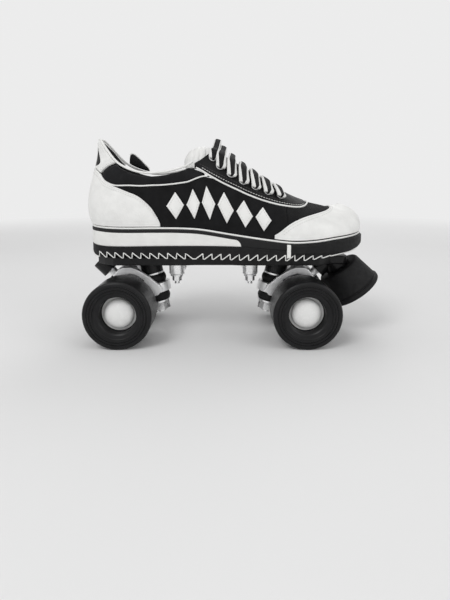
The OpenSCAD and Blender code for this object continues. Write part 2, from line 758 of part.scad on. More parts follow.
// Sole pieces share one outline in plan and the lines between them
function plan_outline(out, n) = [for (i = [0 : n - 1]) let (c = col_n * i / n, f = ring_at(feet, c), o = foot_out(c)) [f[0] + o[0] * out, f[1] + o[1] * out]];
module sole_slice(profile, out = sole_margin) {
  intersection() {
    translate([0, 0, sole_z - 5])
      linear_extrude(height = block[1])
        polygon(plan_outline(out, 132));
    upright(block[0])
      polygon(profile);
  }
}
module bolt_holes() {
  mount_spots()
    translate([0, 0, sole_z - 2])
      cylinder(r = bolt_r + run, h = block[1]);
}
back_x = -151.5;
front_x = 136;
wedge_nose = 5;
wedge_line = concat(
  [for (x = run_x(back_x, wedge_tip - wedge_nose, 24)) [x, sole_z + feather(x) - mid_t]],
  [for (i = [1 : 6])
    let (a = 15 * i, x = wedge_tip - wedge_nose + wedge_nose * sin(a), foot = outsole_top(wedge_tip))
    [x, sole_z + foot + (feather(x) - mid_t - foot) * cos(a)]]
);
outsole_line = [for (x = concat(run_x(back_x, wedge_tip, 22), run_x(wedge_tip + 5, front_x, 20))) [x, sole_z + outsole_top(x)]];
heel_line = [for (p = outsole_line) if (p[0] <= wedge_tip) p];
toe_line = [for (p = outsole_line) if (p[0] > wedge_tip) p];
function back(l) = [for (i = [len(l) - 1 : -1 : 0]) l[i]];

module outsole() {
  count = floor((teeth_x[1] - teeth_x[0]) / tooth_pitch);
  teeth = [for (k = [0 : count - 1])
    let (
      x = teeth_x[0] + k * tooth_pitch, next = x + tooth_pitch, fade = min(1, (count - k) / 4),
      a = ground(x), b = ground(next), top = (a + b) / 2 + tooth_depth * fade
    ) each x < teeth_turn
      ? [[x, a], [x + 0.3, top], [next - tooth_land, b]]
      : [[x + tooth_land, a], [next - 0.3, top], [next, b]]];
  heel_curve = [[back_x, 16], [-146.5, 9.5], [-144, 5.2], [-140, 1.6], [-135.5, 0]];
  toe_curve = [for (x = run_x(teeth_x[1] + 2, front_x, 10)) [x, ground(x)]];
  foot = [for (p = concat(heel_curve, teeth, toe_curve)) [p[0], sole_z + p[1]]];
  color([0.06, 0.06, 0.06])
    difference() {
      sole_slice(concat(foot, back(outsole_line)));
      bolt_holes();
    }
}
module heel_wedge() {
  color([0.9, 0.9, 0.88])
    difference() {
      sole_slice(concat([for (i = [0 : len(heel_line) - 2]) heel_line[i]], back(wedge_line)));
      bolt_holes();
    }
}
module midsole() {
  top = [for (x = run_x(back_x, front_x, 56)) [x, sole_z + feather(x)]];
  color([0.07, 0.07, 0.072])
    difference() {
      sole_slice(concat(wedge_line, toe_line, back(top)));
      bolt_holes();
      for (front = [true, false]) {
        x = front ? axle_front_x - bolt_in : axle_rear_x + bolt_in;
        for (s = [-1, 1]) {
          translate([x, s * bolt_y, head_top(x) - head_h])
            cylinder(r = head_r + run, h = block[1]);
        }
      }
    }
}
module toe_ring(x0, x1, foot) {
  top = [for (x = run_x(x0, x1, 20)) [x, sole_z + feather(x) - 0.8]];
  difference() {
    sole_slice(concat(foot, back(top)), sole_margin + fit + bumper_t);
    translate([0, 0, sole_z - 10])
      linear_extrude(height = block[1])
        polygon(plan_outline(sole_margin + fit, 132));
  }
}
bar_x = 46.5;
module toe_bumper() {
  x0 = bar_x + bar_w + 0.1;
  color([0.05, 0.05, 0.052])
    toe_ring(x0, front_x, concat([[x0, sole_z + bumper_at[0][1]]], [for (p = bumper_at) [p[0], sole_z + p[1]]]));
}
module bumper_bars() {
  color([0.92, 0.92, 0.9])
    toe_ring(bar_x, bar_x + bar_w, [for (x = [bar_x, bar_x + bar_w]) [x, sole_z + bumper_at[0][1]]]);
}
module insole() {
  low = [for (x = run_x(back_x, front_x, 56)) [x, sole_z + feather(x) + 0.1]];
  high = [for (p = low) [p[0], p[1] + insole_t]];
  color([0.75, 0.75, 0.73])
    sole_slice(concat(low, back(high)), -wall_t - 1);
}

// Upper
overlay_low = sewn;
overlay_high = sewn + overlay_t;
stay_high = overlay_t - 0.3;
module quarters() {
  color([0.07, 0.07, 0.075])
    panel(span_grid(-quarter_end, quarter_end, 64, 5, 0, quarter_top), -wall_t, 0);
}
module vamp() {
  color([0.07, 0.07, 0.075])
    panel(span_grid(vamp_start, col_n - vamp_start, 40, 7, 0, vamp_top), -wall_t, 0, true);
}
module heel_counter() {
  color([0.92, 0.92, 0.9])
    panel(span_grid(-counter_end, counter_end, 40, 5, undef, counter_top), overlay_low, overlay_high);
}
module toe_cap() {
  color([0.92, 0.92, 0.9])
    panel(span_grid(cap_start, col_n - cap_start, 44, 6, undef, cap_top), overlay_low, overlay_high, true);
}
module heel_tab() {
  color([0.92, 0.92, 0.9])
    panel([for (i = [0 : 14]) [for (j = [0 : 6]) let (t = tab_foot + (1 - tab_foot) * j / 6) [lookup(t, tab_edge) * (i / 7 - 1), t]]], -wall_t, stay_high);
}
module heel_insert() {
  color([0.06, 0.06, 0.065])
    panel([for (i = [0 : 8]) [for (j = [0 : 8])
      let (half = 0.18 + 0.66 * sin(180 * pow(j / 8, 0.8)), t = insert_span[0] + (insert_span[1] - insert_span[0]) * j / 8)
      [half * (i / 4 - 1), t]]], stay_high + sewn, stay_high + sewn + 0.5);
}
stay_grid = span_grid(stay_cols[0], stay_cols[1], 28, 4, stay_seam, stay_top);
function lace_col(k) = lace_cols[0] + (lace_cols[1] - lace_cols[0]) * pow(k / (lace_n - 1), lace_crowd);
function eyelet_t(c) = lookup(abs(c), eyelet_at);
module at_eyelets() {
  for (s = [-1, 1]) {
    for (k = [0 : lace_n - 1]) {
      c = s * lace_col(k);
      n = skin_out(c, eyelet_t(c));
      translate(skin(c, eyelet_t(c)))
        rotate([0, acos(n[2]), atan2(n[1], n[0])])
          children();
    }
  }
}
module eyestays() {
  color([0.06, 0.06, 0.065])
    difference() {
      union() {
        panel(stay_grid, -wall_t, stay_high);
        panel(other_side(stay_grid), -wall_t, stay_high);
      }
      at_eyelets()
        translate([0, 0, -wall_t - 3])
          cylinder(r = eyelet_r + 0.6, h = 10, $fn = 24);
    }
}
module eyelets() {
  sit = stay_high + 0.15;
  color([0.8, 0.8, 0.8])
    at_eyelets()
      rotate_extrude($fn = 24)
        polygon([
          [eyelet_r, -wall_t], [eyelet_r + 0.45, -wall_t], [eyelet_r + 0.45, sit], [eyelet_rim, sit],
          [eyelet_rim - 0.3, sit + 0.4], [eyelet_r + 0.3, sit + 0.5], [eyelet_r, sit + 0.3]
        ]);
}
// Lozenges: a row of patches along each side, widest and tallest in their middles
function lozenge_grid(k) =
  let (step = (lozenge_cols[1] - lozenge_cols[0]) / lozenge_n, mid = lozenge_cols[0] + step * (k + 0.5))
  [for (i = [0 : 4])
    let (
      u = i / 2 - 1, c = mid + u * lozenge_w * step / 2, low = bead_share(c), high = lookup(c, quarter_top),
      half = lozenge_h * (high - low) / 2 * max(0.03, 1 - abs(u))
    ) [for (j = [0 : 4]) [c, (low + high) / 2 + half * (j / 2 - 1)]]];
module side_lozenges() {
  color([0.93, 0.93, 0.91]) {
    for (k = [0 : lozenge_n - 1]) {
      panel(lozenge_grid(k), overlay_low, overlay_high);
      panel(other_side(lozenge_grid(k)), overlay_low, overlay_high);
    }
  }
}
// Collar: a rounded pad outside and inside the top line, tucked in behind the heel tab
collar_end = 4.66;
function collar_ring(c) =
  let (
    k = side_col(c), low = lookup(k, collar_seam), high = min(0.995, lookup(k, collar_front)),
    mid = (low + high) / 2, half = (high - low) / 2
  ) [for (i = [0 : 11])
    let (
      a = 30 * i, t = mid + half * round_pow(cos(a), 0.7), edge = lookup(t, tab_edge) + 0.14,
      w = blend(edge, edge + 0.3, k), out = -wall_t - sewn + (1.2 + wall_t + sewn) * w,
      in = out - collar_t * (0.8 + 0.2 * w), o = (out + in) / 2 + (out - in) / 2 * round_pow(sin(a), 0.7)
    ) lifted(c, min(t, 1), o)];
module collar() {
  color([0.06, 0.06, 0.065])
    loft([for (i = [0 : 52]) collar_ring(-collar_end + 2 * collar_end * i / 52)]);
}
function tube_rings(path, r, n, joined) = let (m = len(path)) [for (i = [0 : m - 1])
  let (
    a = path[joined ? (i + m - 1) % m : max(0, i - 1)], b = path[joined ? (i + 1) % m : min(m - 1, i + 1)],
    d = unit(b - a), side = unit(cross(d, [0, 0, 1])), up = cross(side, d)
  ) [for (j = [0 : n - 1]) let (g = -360 * j / n) path[i] + r * (cos(g) * side + sin(g) * up)]];
module top_piping() {
  path = [for (i = [0 : 60]) let (c = -4.25 + 8.5 * i / 60) lifted(c, 1, -0.6) + [0, 0, piping_r + 0.6]];
  color([0.93, 0.93, 0.91])
    loft(tube_rings(path, piping_r, 6, false));
}
module welt() {
  path = [for (i = [0 : 109]) let (c = col_n * i / 110) skin(c, 0) + foot_out(c) * (bead_r + soft + 0.1) + [0, 0, bead_r]];
  color([0.93, 0.93, 0.91])
    loft(tube_rings(path, bead_r, 6, true), true);
}
// Padded lobe that stands on the inner side's top line
module ankle_lobe() {
  color([0.07, 0.07, 0.075])
    loft([for (i = [0 : 12])
      let (
        u = i / 12, c = -(1.92 + 0.78 * u), p = skin(c, 1) + [0, 0, 2 * piping_r + 1], n = skin_out(c, 0.9), o = unit([n[0], n[1], 0]),
        h = 1.5 + lobe_h * pow(sin(180 * sqrt(u)), 0.8), w = 1 + 2.6 * sin(180 * u)
      ) [for (j = [0 : 9]) let (a = -36 * j) p - 2.4 * o + [0, 0, h / 2] + [0, 0, h / 2 * round_pow(cos(a), 0.8)] + w * o * round_pow(sin(a), 0.8)]]);
}
// Tongue: arched pad under the laces, its free end rolled over behind the top eyelets
// Stations: column, or steps behind the top column; crown over the throat edge, half width, droop at the sides, thickness
tongue_rows = [
  [8.3, 0, -5.5, 6, 2, 0.5], [7.85, 0, -4.8, 9, 3, 0.6], [7.4, 0, -4.2, 12, 4.5, 0.75], [7, 0, -3.4, 15, 7, 0.9],
  [6.5, 0, -2.8, 18, 11.5, 1], [6, 0, -1.8, 19, 15, 1],
  [5.5, 0, 1.2, 19.5, 19.5, 1], [5.2, 0, 3, 19.5, 21.5, 1], [5, 0, 4.6, 20, 21, 1.05], [5, -8, 6, 20, 18, 1.15],
  [5, -15, 5, 19, 16, 1.25], [5, -21, 1.5, 17, 14, 1.15], [5, -25, -4, 13, 9, 0.8], [5, -26.6, -7.5, 8, 4, 0.4]
];
module tongue() {
  color([0.9, 0.9, 0.88])
    loft([for (r = tongue_rows)
      let (s = skin(r[0], 1), w = r[3], th = tongue_t * r[5])
      [for (j = [0 : 15])
        let (a = -22.5 * j, y = w * round_pow(cos(a), 0.8))
        [s[0] + r[1], y, s[2] + r[2] - r[4] * y * y / (w * w) - th / 2 + th / 2 * round_pow(sin(a), 0.7)]]]);
}
// Lace: one flat band that runs up the throat, over in a bar and under from eyelet to eyelet
bunch = [1.6, 0.95];
spread = [2.7, 0.95];
band = [lace_w / 2, lace_t / 2];
hide = wall_t + 2;
lace_lift = 3;
lace_puff = 4;
bar_keys = 11;
function bar_rise(k) = 4 + 8 * pow((lace_n - 1 - k) / (lace_n - 1), 4);
function half_bar(c) =
  let (
    t = eyelet_t(c), a = skin(c, t), n = skin_out(c, t), m = (t + 1) / 2, top = skin(c, 1)
  ) [
    [a - n * hide, bunch], [a - n * 1.4, bunch], [a + n * lace_lift, spread],
    [skin(c, m) + skin_out(c, m) * lace_puff, band], [[top[0], 0.9 * top[1], top[2] + 3], band]
  ];
function lace_bar(k, s) =
  let (c = lace_col(k), top = skin(c, 1))
  concat(half_bar(s * c), [[[top[0], 0, top[2] + bar_rise(k)], band]], back(half_bar(-s * c)));
lace_keys = [for (k = [lace_n - 1 : -1 : 0]) each lace_bar(k, k % 2 == 0 ? 1 : -1)];
lace_path = [for (i = [0 : 2 * (len(lace_keys) - 1)])
  let (k = min(len(lace_keys) - 2, floor(i / 2)), f = i / 2 - k, n = len(lace_keys) - 1)
  [knot(lace_keys[max(0, k - 1)][0], lace_keys[k][0], lace_keys[k + 1][0], lace_keys[min(n, k + 2)][0], f),
   lace_keys[k][1] * (1 - f) + lace_keys[k + 1][1] * f]];
function lace_dir(i) = unit(lace_path[min(len(lace_path) - 1, i + 1)][0] - lace_path[max(0, i - 1)][0]);
// Across the band: up the throat over a bar, turned sideways where the lace runs up inside
function up_throat(c) = let (d = skin(c - 0.1, 1) - skin(c + 0.1, 1)) unit([d[0], 0, d[2]]);
function lace_side(i) =
  let (d = lace_dir(i), w = up_throat(lace_col(lace_n - 1 - floor(i / (2 * bar_keys)))), n = [w[2], 0, -w[0]])
  unit(w - (w * d) * d + 0.35 * cross(n, d));
module lace() {
  color([0.05, 0.05, 0.055])
    loft([for (i = [0 : len(lace_path) - 1])
      let (p = lace_path[i], d = lace_dir(i), side = lace_side(i), up = cross(side, d))
      [for (j = [0 : 7]) let (a = -45 * j) p[0] + p[1][0] * round_pow(cos(a), 0.8) * side + p[1][1] * round_pow(sin(a), 0.8) * up]]);
}

// Pieces by name
module tyre(x, s) {
  color([0.05, 0.05, 0.052])
    at_wheel(x, s)
      wheel_tyre();
}
module hub(x, s) {
  color([0.85, 0.85, 0.83])
    at_wheel(x, s)
      wheel_hub();
}
module bearings(x, s) {
  color([0.7, 0.71, 0.72])
    at_wheel(x, s)
      wheel_bearings();
}
module cap(x, s) {
  color([0.93, 0.93, 0.92])
    at_wheel(x, s)
      wheel_cap();
}
module front_outer_tyre() { tyre(axle_front_x, -1); }
module front_outer_hub() { hub(axle_front_x, -1); }
module front_outer_bearings() { bearings(axle_front_x, -1); }
module front_outer_cap() { cap(axle_front_x, -1); }
module front_inner_tyre() { tyre(axle_front_x, 1); }
module front_inner_hub() { hub(axle_front_x, 1); }
module front_inner_bearings() { bearings(axle_front_x, 1); }
module front_inner_cap() { cap(axle_front_x, 1); }
module rear_outer_tyre() { tyre(axle_rear_x, -1); }
module rear_outer_hub() { hub(axle_rear_x, -1); }
module rear_outer_bearings() { bearings(axle_rear_x, -1); }
module rear_outer_cap() { cap(axle_rear_x, -1); }
module rear_inner_tyre() { tyre(axle_rear_x, 1); }
module rear_inner_hub() { hub(axle_rear_x, 1); }
module rear_inner_bearings() { bearings(axle_rear_x, 1); }
module rear_inner_cap() { cap(axle_rear_x, 1); }
module steel() { color([0.78, 0.79, 0.8]) children(); }
module front_hanger() { steel() at_truck(true) hanger_body(); }
module front_axle() { steel() at_truck(true) axle_rod(); }
module front_races() { steel() races(axle_front_x); }
module front_axle_washers() { steel() axle_washers(axle_front_x); }
module front_axle_nuts() { steel() axle_nuts(axle_front_x); }
module rear_hanger() { steel() at_truck(false) hanger_body(); }
module rear_axle() { steel() at_truck(false) axle_rod(); }
module rear_races() { steel() races(axle_rear_x); }
module rear_axle_washers() { steel() axle_washers(axle_rear_x); }
module rear_axle_nuts() { steel() axle_nuts(axle_rear_x); }
module both_trucks() {
  for (front = [true, false]) {
    at_truck(front)
      children();
  }
}
module kingpins() { steel() both_trucks() kingpin(); }
module kingpin_nuts() { steel() both_trucks() kingpin_nut(); }
module cushion_cups() { steel() both_trucks() cup_pair(); }
module pivot_cups() { color([0.1, 0.1, 0.1]) both_trucks() pivot_cup(); }
module front_cushions() { color([0.05, 0.05, 0.05]) at_truck(true) cushion_pair(); }
module rear_cushions() { color([0.05, 0.05, 0.05]) at_truck(false) cushion_pair(); }

front_outer_tyre();
front_outer_hub();
front_outer_bearings();
front_outer_cap();
front_inner_tyre();
front_inner_hub();
front_inner_bearings();
front_inner_cap();
rear_outer_tyre();
rear_outer_hub();
rear_outer_bearings();
rear_outer_cap();
rear_inner_tyre();
rear_inner_hub();
rear_inner_bearings();
rear_inner_cap();
front_hanger();
front_axle();
front_races();
front_axle_washers();
front_axle_nuts();
rear_hanger();
rear_axle();
rear_races();
rear_axle_washers();
rear_axle_nuts();
kingpins();
kingpin_nuts();
cushion_cups();
pivot_cups();
front_cushions();
rear_cushions();
plate();
mount_lugs();
mount_bolts();
mount_washers();
mount_nuts();
toe_stop_rubber();
toe_stop_stem();
outsole();
heel_wedge();
midsole();
toe_bumper();
bumper_bars();
insole();
quarters();
vamp();
heel_counter();
toe_cap();
heel_tab();
heel_insert();
side_lozenges();
eyestays();
eyelets();
collar();
top_piping();
welt();
ankle_lobe();
tongue();
lace();
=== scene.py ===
import json
import math

import bmesh
import bpy
import numpy as np
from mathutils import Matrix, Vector

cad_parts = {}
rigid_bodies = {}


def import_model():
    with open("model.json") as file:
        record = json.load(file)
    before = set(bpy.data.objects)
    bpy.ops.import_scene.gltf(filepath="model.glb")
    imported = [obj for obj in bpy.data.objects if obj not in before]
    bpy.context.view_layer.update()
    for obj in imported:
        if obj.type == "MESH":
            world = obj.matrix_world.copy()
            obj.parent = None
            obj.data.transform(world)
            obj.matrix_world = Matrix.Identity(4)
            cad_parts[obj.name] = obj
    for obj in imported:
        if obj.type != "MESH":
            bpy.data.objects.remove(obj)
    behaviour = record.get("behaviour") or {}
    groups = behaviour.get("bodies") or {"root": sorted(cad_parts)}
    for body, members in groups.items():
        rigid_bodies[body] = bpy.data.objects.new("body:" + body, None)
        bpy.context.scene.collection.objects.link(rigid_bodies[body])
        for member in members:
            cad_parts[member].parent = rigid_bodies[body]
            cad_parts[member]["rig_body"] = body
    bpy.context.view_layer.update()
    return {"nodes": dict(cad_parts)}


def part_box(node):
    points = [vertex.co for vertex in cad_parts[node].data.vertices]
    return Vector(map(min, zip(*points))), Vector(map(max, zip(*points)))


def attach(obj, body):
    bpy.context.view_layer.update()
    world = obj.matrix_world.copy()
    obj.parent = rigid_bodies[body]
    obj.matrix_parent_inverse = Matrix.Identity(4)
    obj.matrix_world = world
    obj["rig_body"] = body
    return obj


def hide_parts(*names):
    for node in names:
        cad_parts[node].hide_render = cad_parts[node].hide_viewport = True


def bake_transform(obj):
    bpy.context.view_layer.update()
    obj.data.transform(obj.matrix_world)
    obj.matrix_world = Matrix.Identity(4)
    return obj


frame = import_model()
nodes = frame["nodes"]

# Sizes in millimetres, from the frame where a node shows them
MM = 0.001
ENDS = ("front", "rear")
SIDES = {"outer": -1, "inner": 1}


def box_mm(node):
    low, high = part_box(node)
    return np.array(low) / MM, np.array(high) / MM


def middle(node):
    low, high = box_mm(node)
    return (low + high) / 2


axle_at = {end: middle(end + "_axle") for end in ENDS}
tyre_low, tyre_high = box_mm("front_inner_tyre")
wheel_r = (tyre_high[2] - tyre_low[2]) / 2
wheel_in = tyre_low[1]
wheel_w = tyre_high[1] - tyre_low[1]
sole_z = box_mm("plate")[1][2]
# Clearance between pieces that are turned or moulded to fit
fit = 0.04
# Hub, its outer end, hub cap and bearing of a wheel
hub_r = 16.5
hub_end = 25.5
cap_r = 14.2
cap_dome = 4.7
bearing_r = 11
# Toe stop: middle of its sole, lean, rubber and stem
stop_at = np.array([124.9, 0, axle_at["front"][2] + 9.8])
stop_lean = math.radians(36.87)
stop_r = 28
stop_top_r = 22
stop_len = 31.5
stem_r = 7.9
# Kingpin, from the axle to the middle of the hanger's ring, and the cushions on it
king_in = 27.5
king_h = 14
king_tilt = math.radians(12)
cushion_r = 12.5
cushion_h = 9
cushion_from = 4.95
# Sole: how far it stands out under the last, toe bumper, pale bar, midsole and insole
sole_margin = 2.5
bumper_t = 1.5
bar_x = 46.5
bar_w = 3.4
mid_t = 3
insole_t = 4
# Upper: wall, heights of the sewn panels over it, rows of stitches inside their edges
wall_t = 1.5
sewn = 0.46
overlay_t = 1.1
overlay_high = sewn + overlay_t
stay_high = overlay_t - 0.3
seam_rows = (1.8, 4.2)
laid_in = 0.05
soft = 0.25
# Trim, pads and lace
piping_r = 1.1
bead_r = 0.9
bead_gap = 0.6
lozenge_w = 0.86
lozenge_h = 0.64
toe_puff = 3.6
collar_t = 7.2
lobe_h = 10.8
tongue_t = 7
tongue_seams = (-4, -10.5, -17)
lace_w = 8
# Rough length of one column of the last along the side of the shoe, and rough height of a column
COLUMN = 31
HEIGHT = 60

# Top edge of the sole and top of the outsole over the plate, heel to toe
heel_h, ball_h, toe_h = 27.4, 15.6, 21.6
feather_at = [
    (-151.5, heel_h + 1.5), (-119.5, heel_h), (-41.5, heel_h),
    (-1.5, ball_h + 0.56 * (heel_h - ball_h)), (29.5, ball_h + 0.2 * (heel_h - ball_h)),
    (52.5, ball_h), (73.5, ball_h + 0.13 * (toe_h - ball_h)),
    (93.5, ball_h + 0.5 * (toe_h - ball_h)), (136, toe_h + 0.4),
]
outsole_at = [
    (-151.5, 16.5), (-144, 13), (-134, 11.2), (-119.5, 11), (-60, 12.2), (4, 12.6),
    (30, 10.6), (60, 9.4), (95, 10.8), (118, 13.6), (136, 18.6),
]
# Foot of the outsole and of the toe bumper over the plate
ground_at = [
    (-60, 0), (58, 0), (72, 1.2), (84, 2.8), (95, 4.6), (109, 6.2), (118, 8.6), (126, 11.6), (136, 15.4),
]
bumper_at = [(56, 6), (84, 6.2), (100, 7), (110, 7.6), (118, 9.2), (126, 12.2), (136, 16)]
# Front end of the pale wedge, and the outsole's teeth
wedge_tip = 4.5
wedge_nose = 5
teeth_from, teeth_to, teeth_turn = -133, 96, -42
tooth_pitch, tooth_depth, tooth_land = 8.5, 5.2, 1.4

# Last of the shoe, heel to toe on the outer side: foot x, foot y, top x, top y, top height
outer_cols = [
    (-142, 0, -135.5, 0, 83.5), (-135.5, -18.5, -127.5, -14.5, 76.5), (-114.5, -31, -109.5, -25, 59.2),
    (-81.5, -34.5, -81.5, -30.5, 51.3), (-45.5, -37, -47.5, -29, 58), (-17.5, -40.5, -24.5, -16, 76.6),
    (13.5, -45, 11.5, -12.5, 63.3), (44.5, -47.5, 43.5, -9.5, 48.2), (74.5, -45.5, 70.5, 0, 36.4),
    (100.5, -35.5, 89.5, 0, 29), (117.5, -18, 101, 2, 25.5), (125, 5, 105.5, 4, 24),
]
inner_feet = [
    (-135.5, 18.5), (-114.5, 30), (-81.5, 31.5), (-45.5, 28.5), (-17.5, 30),
    (13.5, 37), (44.5, 43.5), (74.5, 44.5), (101, 37.5), (118, 24),
]
COLS = 22
TOE = 11
feet = np.array([r[:2] for r in outer_cols] + inner_feet[::-1], float)
tops = np.array([
    (r[2], -r[3] if i > TOE and r[3] < 0 else r[3], r[4])
    for i, r in ((i, outer_cols[min(i, COLS - i)]) for i in range(COLS))
])
# How far the last swells out over its foot and under its top, by column
low_swell = [(0, 15), (1, 10), (2, 5), (3, 3), (5, 4), (7, 5), (9, 5), (11, 4.5)]
high_swell = [(0, -2), (1, 0.5), (2, 3), (3, 3.5), (4, 3)]
# Columns over which the sides turn from upright to leaning over the foot, and from which they meet on a ridge
lean_cols = (3.6, 6)
ridge_col = 8

# Seams of the upper: share of a column's height, by column
collar_seam = [
    (0, 0.7), (1, 0.694), (1.33, 0.65), (1.66, 0.665), (1.87, 0.688), (2.4, 0.772),
    (3.03, 0.819), (3.56, 0.8), (3.83, 0.785), (4.26, 0.738), (4.84, 0.63),
]
collar_front = [(4.1, 1), (4.26, 0.93), (4.58, 0.752), (4.7, 0.698)]
stay_seam = [
    (4.2, 0.99), (4.58, 0.777), (4.91, 0.626), (5.23, 0.554), (5.5, 0.53), (6, 0.514), (6.38, 0.523),
    (6.76, 0.552), (7.16, 0.602), (7.57, 0.661), (7.7, 0.702), (7.87, 0.785), (8.05, 1),
]
stay_top = [(4.36, 0.965), (4.68, 0.905), (4.9, 0.925), (5.1, 0.985)]
quarter_top = [
    (0, 0.672), (1, 0.668), (1.33, 0.625), (1.66, 0.642), (1.87, 0.665), (2.4, 0.75),
    (3.03, 0.798), (3.56, 0.778), (3.83, 0.763), (4.26, 0.716), (4.84, 0.608), (5.23, 0.534),
    (5.5, 0.51), (6, 0.494), (6.38, 0.503), (6.76, 0.532), (7.1, 0.574),
]
vamp_top = [(7.1, 0.574), (7.5, 0.63), (7.7, 0.68), (7.87, 0.76), (7.97, 0.86), (8.05, 1)]
counter_top = [
    (0, 0.69), (0.96, 0.688), (1.33, 0.63), (1.66, 0.646), (1.88, 0.66), (2.18, 0.654),
    (2.65, 0.61), (2.91, 0.497), (3.08, 0.39), (3.21, 0.243), (3.29, 0.079),
]
cap_top = [
    (6.6, 0.07), (6.81, 0.13), (7.02, 0.238), (7.23, 0.33), (7.58, 0.443), (7.97, 0.541),
    (8.35, 0.625), (8.62, 0.695), (8.92, 0.815), (9.3, 1),
]
# Heel tab and its insert, ends of the panels, lozenges, lace and eyelets, in columns and shares
tab_foot = 0.69
tab_edge = [(tab_foot, 1), (1, 1.76)]
insert_span = (0.71, 0.93)
counter_end = 3.28
cap_start = 6.7
stay_cols = (4.36, 7.86)
quarter_end = 7.1
lozenge_cols = (3.42, 6.66)
lozenge_n = 6
lace_n = 7
lace_cols = (5.1, 6.95)
lace_crowd = 1.25
lace_fan = 0.12
eyelet_at = [(5.1, 0.88), (5.3, 0.76), (5.57, 0.7), (5.88, 0.675), (6.2, 0.68), (6.57, 0.7), (6.95, 0.745)]


# Curves through points
def straight(table, x):
    xs, ys = zip(*table)
    return np.interp(x, xs, ys)


def smooth(table, x):
    """Cubic curve through a table of places and heights."""
    xs, ys = (np.array(v, float) for v in zip(*table))
    x = np.clip(np.asarray(x, float), xs[0], xs[-1])
    last = len(xs) - 1
    lower = np.maximum(np.arange(last + 1) - 1, 0)
    upper = np.minimum(np.arange(last + 1) + 1, last)
    slope = (ys[upper] - ys[lower]) / (xs[upper] - xs[lower])
    i = np.clip(np.searchsorted(xs, x, side="right") - 1, 0, last - 1)
    w = xs[i + 1] - xs[i]
    u = (x - xs[i]) / w
    return (
        (2 * u**3 - 3 * u**2 + 1) * ys[i] + (u**3 - 2 * u**2 + u) * w * slope[i]
        + (3 * u**2 - 2 * u**3) * ys[i + 1] + (u**3 - u**2) * w * slope[i + 1]
    )


def eased(table, x):
    """Straight lines through a table with their corners rounded off."""
    corner = 0.12
    x = np.asarray(x, float)
    reach = np.clip(np.minimum(x - table[0][0], table[-1][0] - x), 0, corner)
    return np.mean([straight(table, x + s * reach) for s in (-1, -0.5, 0, 0.5, 1)], axis=0)


def blend(a, b, x):
    """Goes smoothly from 0 at a to 1 at b."""
    u = np.clip((x - a) / (b - a), 0, 1)
    return u * u * (3 - 2 * u)


def knot(p, q, r, s, f):
    """A place between q and r on the curve through four points."""
    bend = 2 * p - 5 * q + 4 * r - s
    turn = 3 * q - p - 3 * r + s
    return 0.5 * (2 * q + (r - p) * f + bend * f * f + turn * f**3)


def ring_at(points, c):
    """A place on the closed curve through one point per column."""
    c = np.asarray(c, float)
    i = np.floor(c).astype(int)
    f = (c - i)[..., None]
    p, q, r, s = (points[(i + k) % COLS] for k in (-1, 0, 1, 2))
    return knot(p, q, r, s, f)


def unit(v):
    return v / np.maximum(np.linalg.norm(v, axis=-1, keepdims=True), 1e-12)


def round_pow(v, p):
    return np.sign(v) * np.abs(v) ** p


def full_turn(count):
    return np.linspace(0, 2 * math.pi, count, endpoint=False)


def lengths(path):
    """Length along a path from its start to each of its points."""
    return np.r_[0, np.cumsum(np.linalg.norm(np.diff(path, axis=0), axis=1))]


# Surface of the last
def feather(x):
    return smooth(feather_at, x)


def outsole_top(x):
    return smooth(outsole_at, x)


def ground(x):
    return np.maximum(0, smooth(ground_at, x))


def side_col(c):
    """Columns from the heel, the same on both sides."""
    m = np.mod(c, COLS)
    return np.minimum(m, COLS - m)


def foot_out(c):
    """Level direction out of the last's foot."""
    e = 0.01
    d = ring_at(feet, c + e) - ring_at(feet, c - e)
    return unit(np.stack([d[..., 1], -d[..., 0], 0 * d[..., 0]], -1))


def upward(z):
    return np.stack([0 * z, 0 * z, z], -1)


def skin(c, t):
    """A place on the last at a column and a share of its height."""
    rise, lean, drop = 0.15, 0.52, 0.05
    c, t = np.broadcast_arrays(np.asarray(c, float), np.asarray(t, float))
    b, a, o, k = ring_at(feet, c), ring_at(tops, c), foot_out(c), side_col(c)
    base = sole_z + feather(b[..., 0])
    p0 = np.stack([b[..., 0], b[..., 1], base + soft], -1)
    p3 = np.stack([a[..., 0], a[..., 1], base + a[..., 2]], -1)
    h = p3[..., 2] - p0[..., 2]
    d = np.hypot(p3[..., 0] - p0[..., 0], p3[..., 1] - p0[..., 1])
    w = blend(*lean_cols, k)
    p1 = p0 + o * straight(low_swell, k)[..., None] + upward(h / 3 * (1 + rise * w))
    reach = straight(high_swell, k) * (1 - w) + lean * d * w
    p2 = p3 + o * reach[..., None] - upward(h / 3 * (1 - w) + drop * h * w)
    t = t[..., None]
    u = 1 - t
    return u**3 * p0 + 3 * u * u * t * p1 + 3 * u * t * t * p2 + t**3 * p3


def skin_out(c, t):
    c, t = np.broadcast_arrays(np.asarray(c, float), np.asarray(t, float))
    e, low, high = 0.01, 0.02, 0.97
    s = np.clip(t, low, high)
    return unit(np.cross(skin(c + e, s) - skin(c - e, s), skin(c, s + e) - skin(c, s - e)))


def lifted(c, t, h):
    """A place h over the last, where both sides meet on the toe's ridge."""
    out = skin_out(c, t)
    c, t = np.broadcast_arrays(np.asarray(c, float), np.asarray(t, float))
    met = ((t >= 1) & (side_col(c) > ridge_col))[..., None]
    out = np.where(met, unit(out + skin_out(-c, t)), out)
    place = np.where(met, (skin(c, t) + skin(-c, t)) / 2, skin(c, t))
    return place + np.asarray(h)[..., None] * out


def bead_share(c):
    """Share of a column's height just over the bead along the sole."""
    return (2 * bead_r + bead_gap) / ring_at(tops, c)[..., 2]


# Making pieces
WELD = 2e-6


def add(name, data):
    ob = bpy.data.objects.new(name, data)
    bpy.context.scene.collection.objects.link(ob)
    return ob


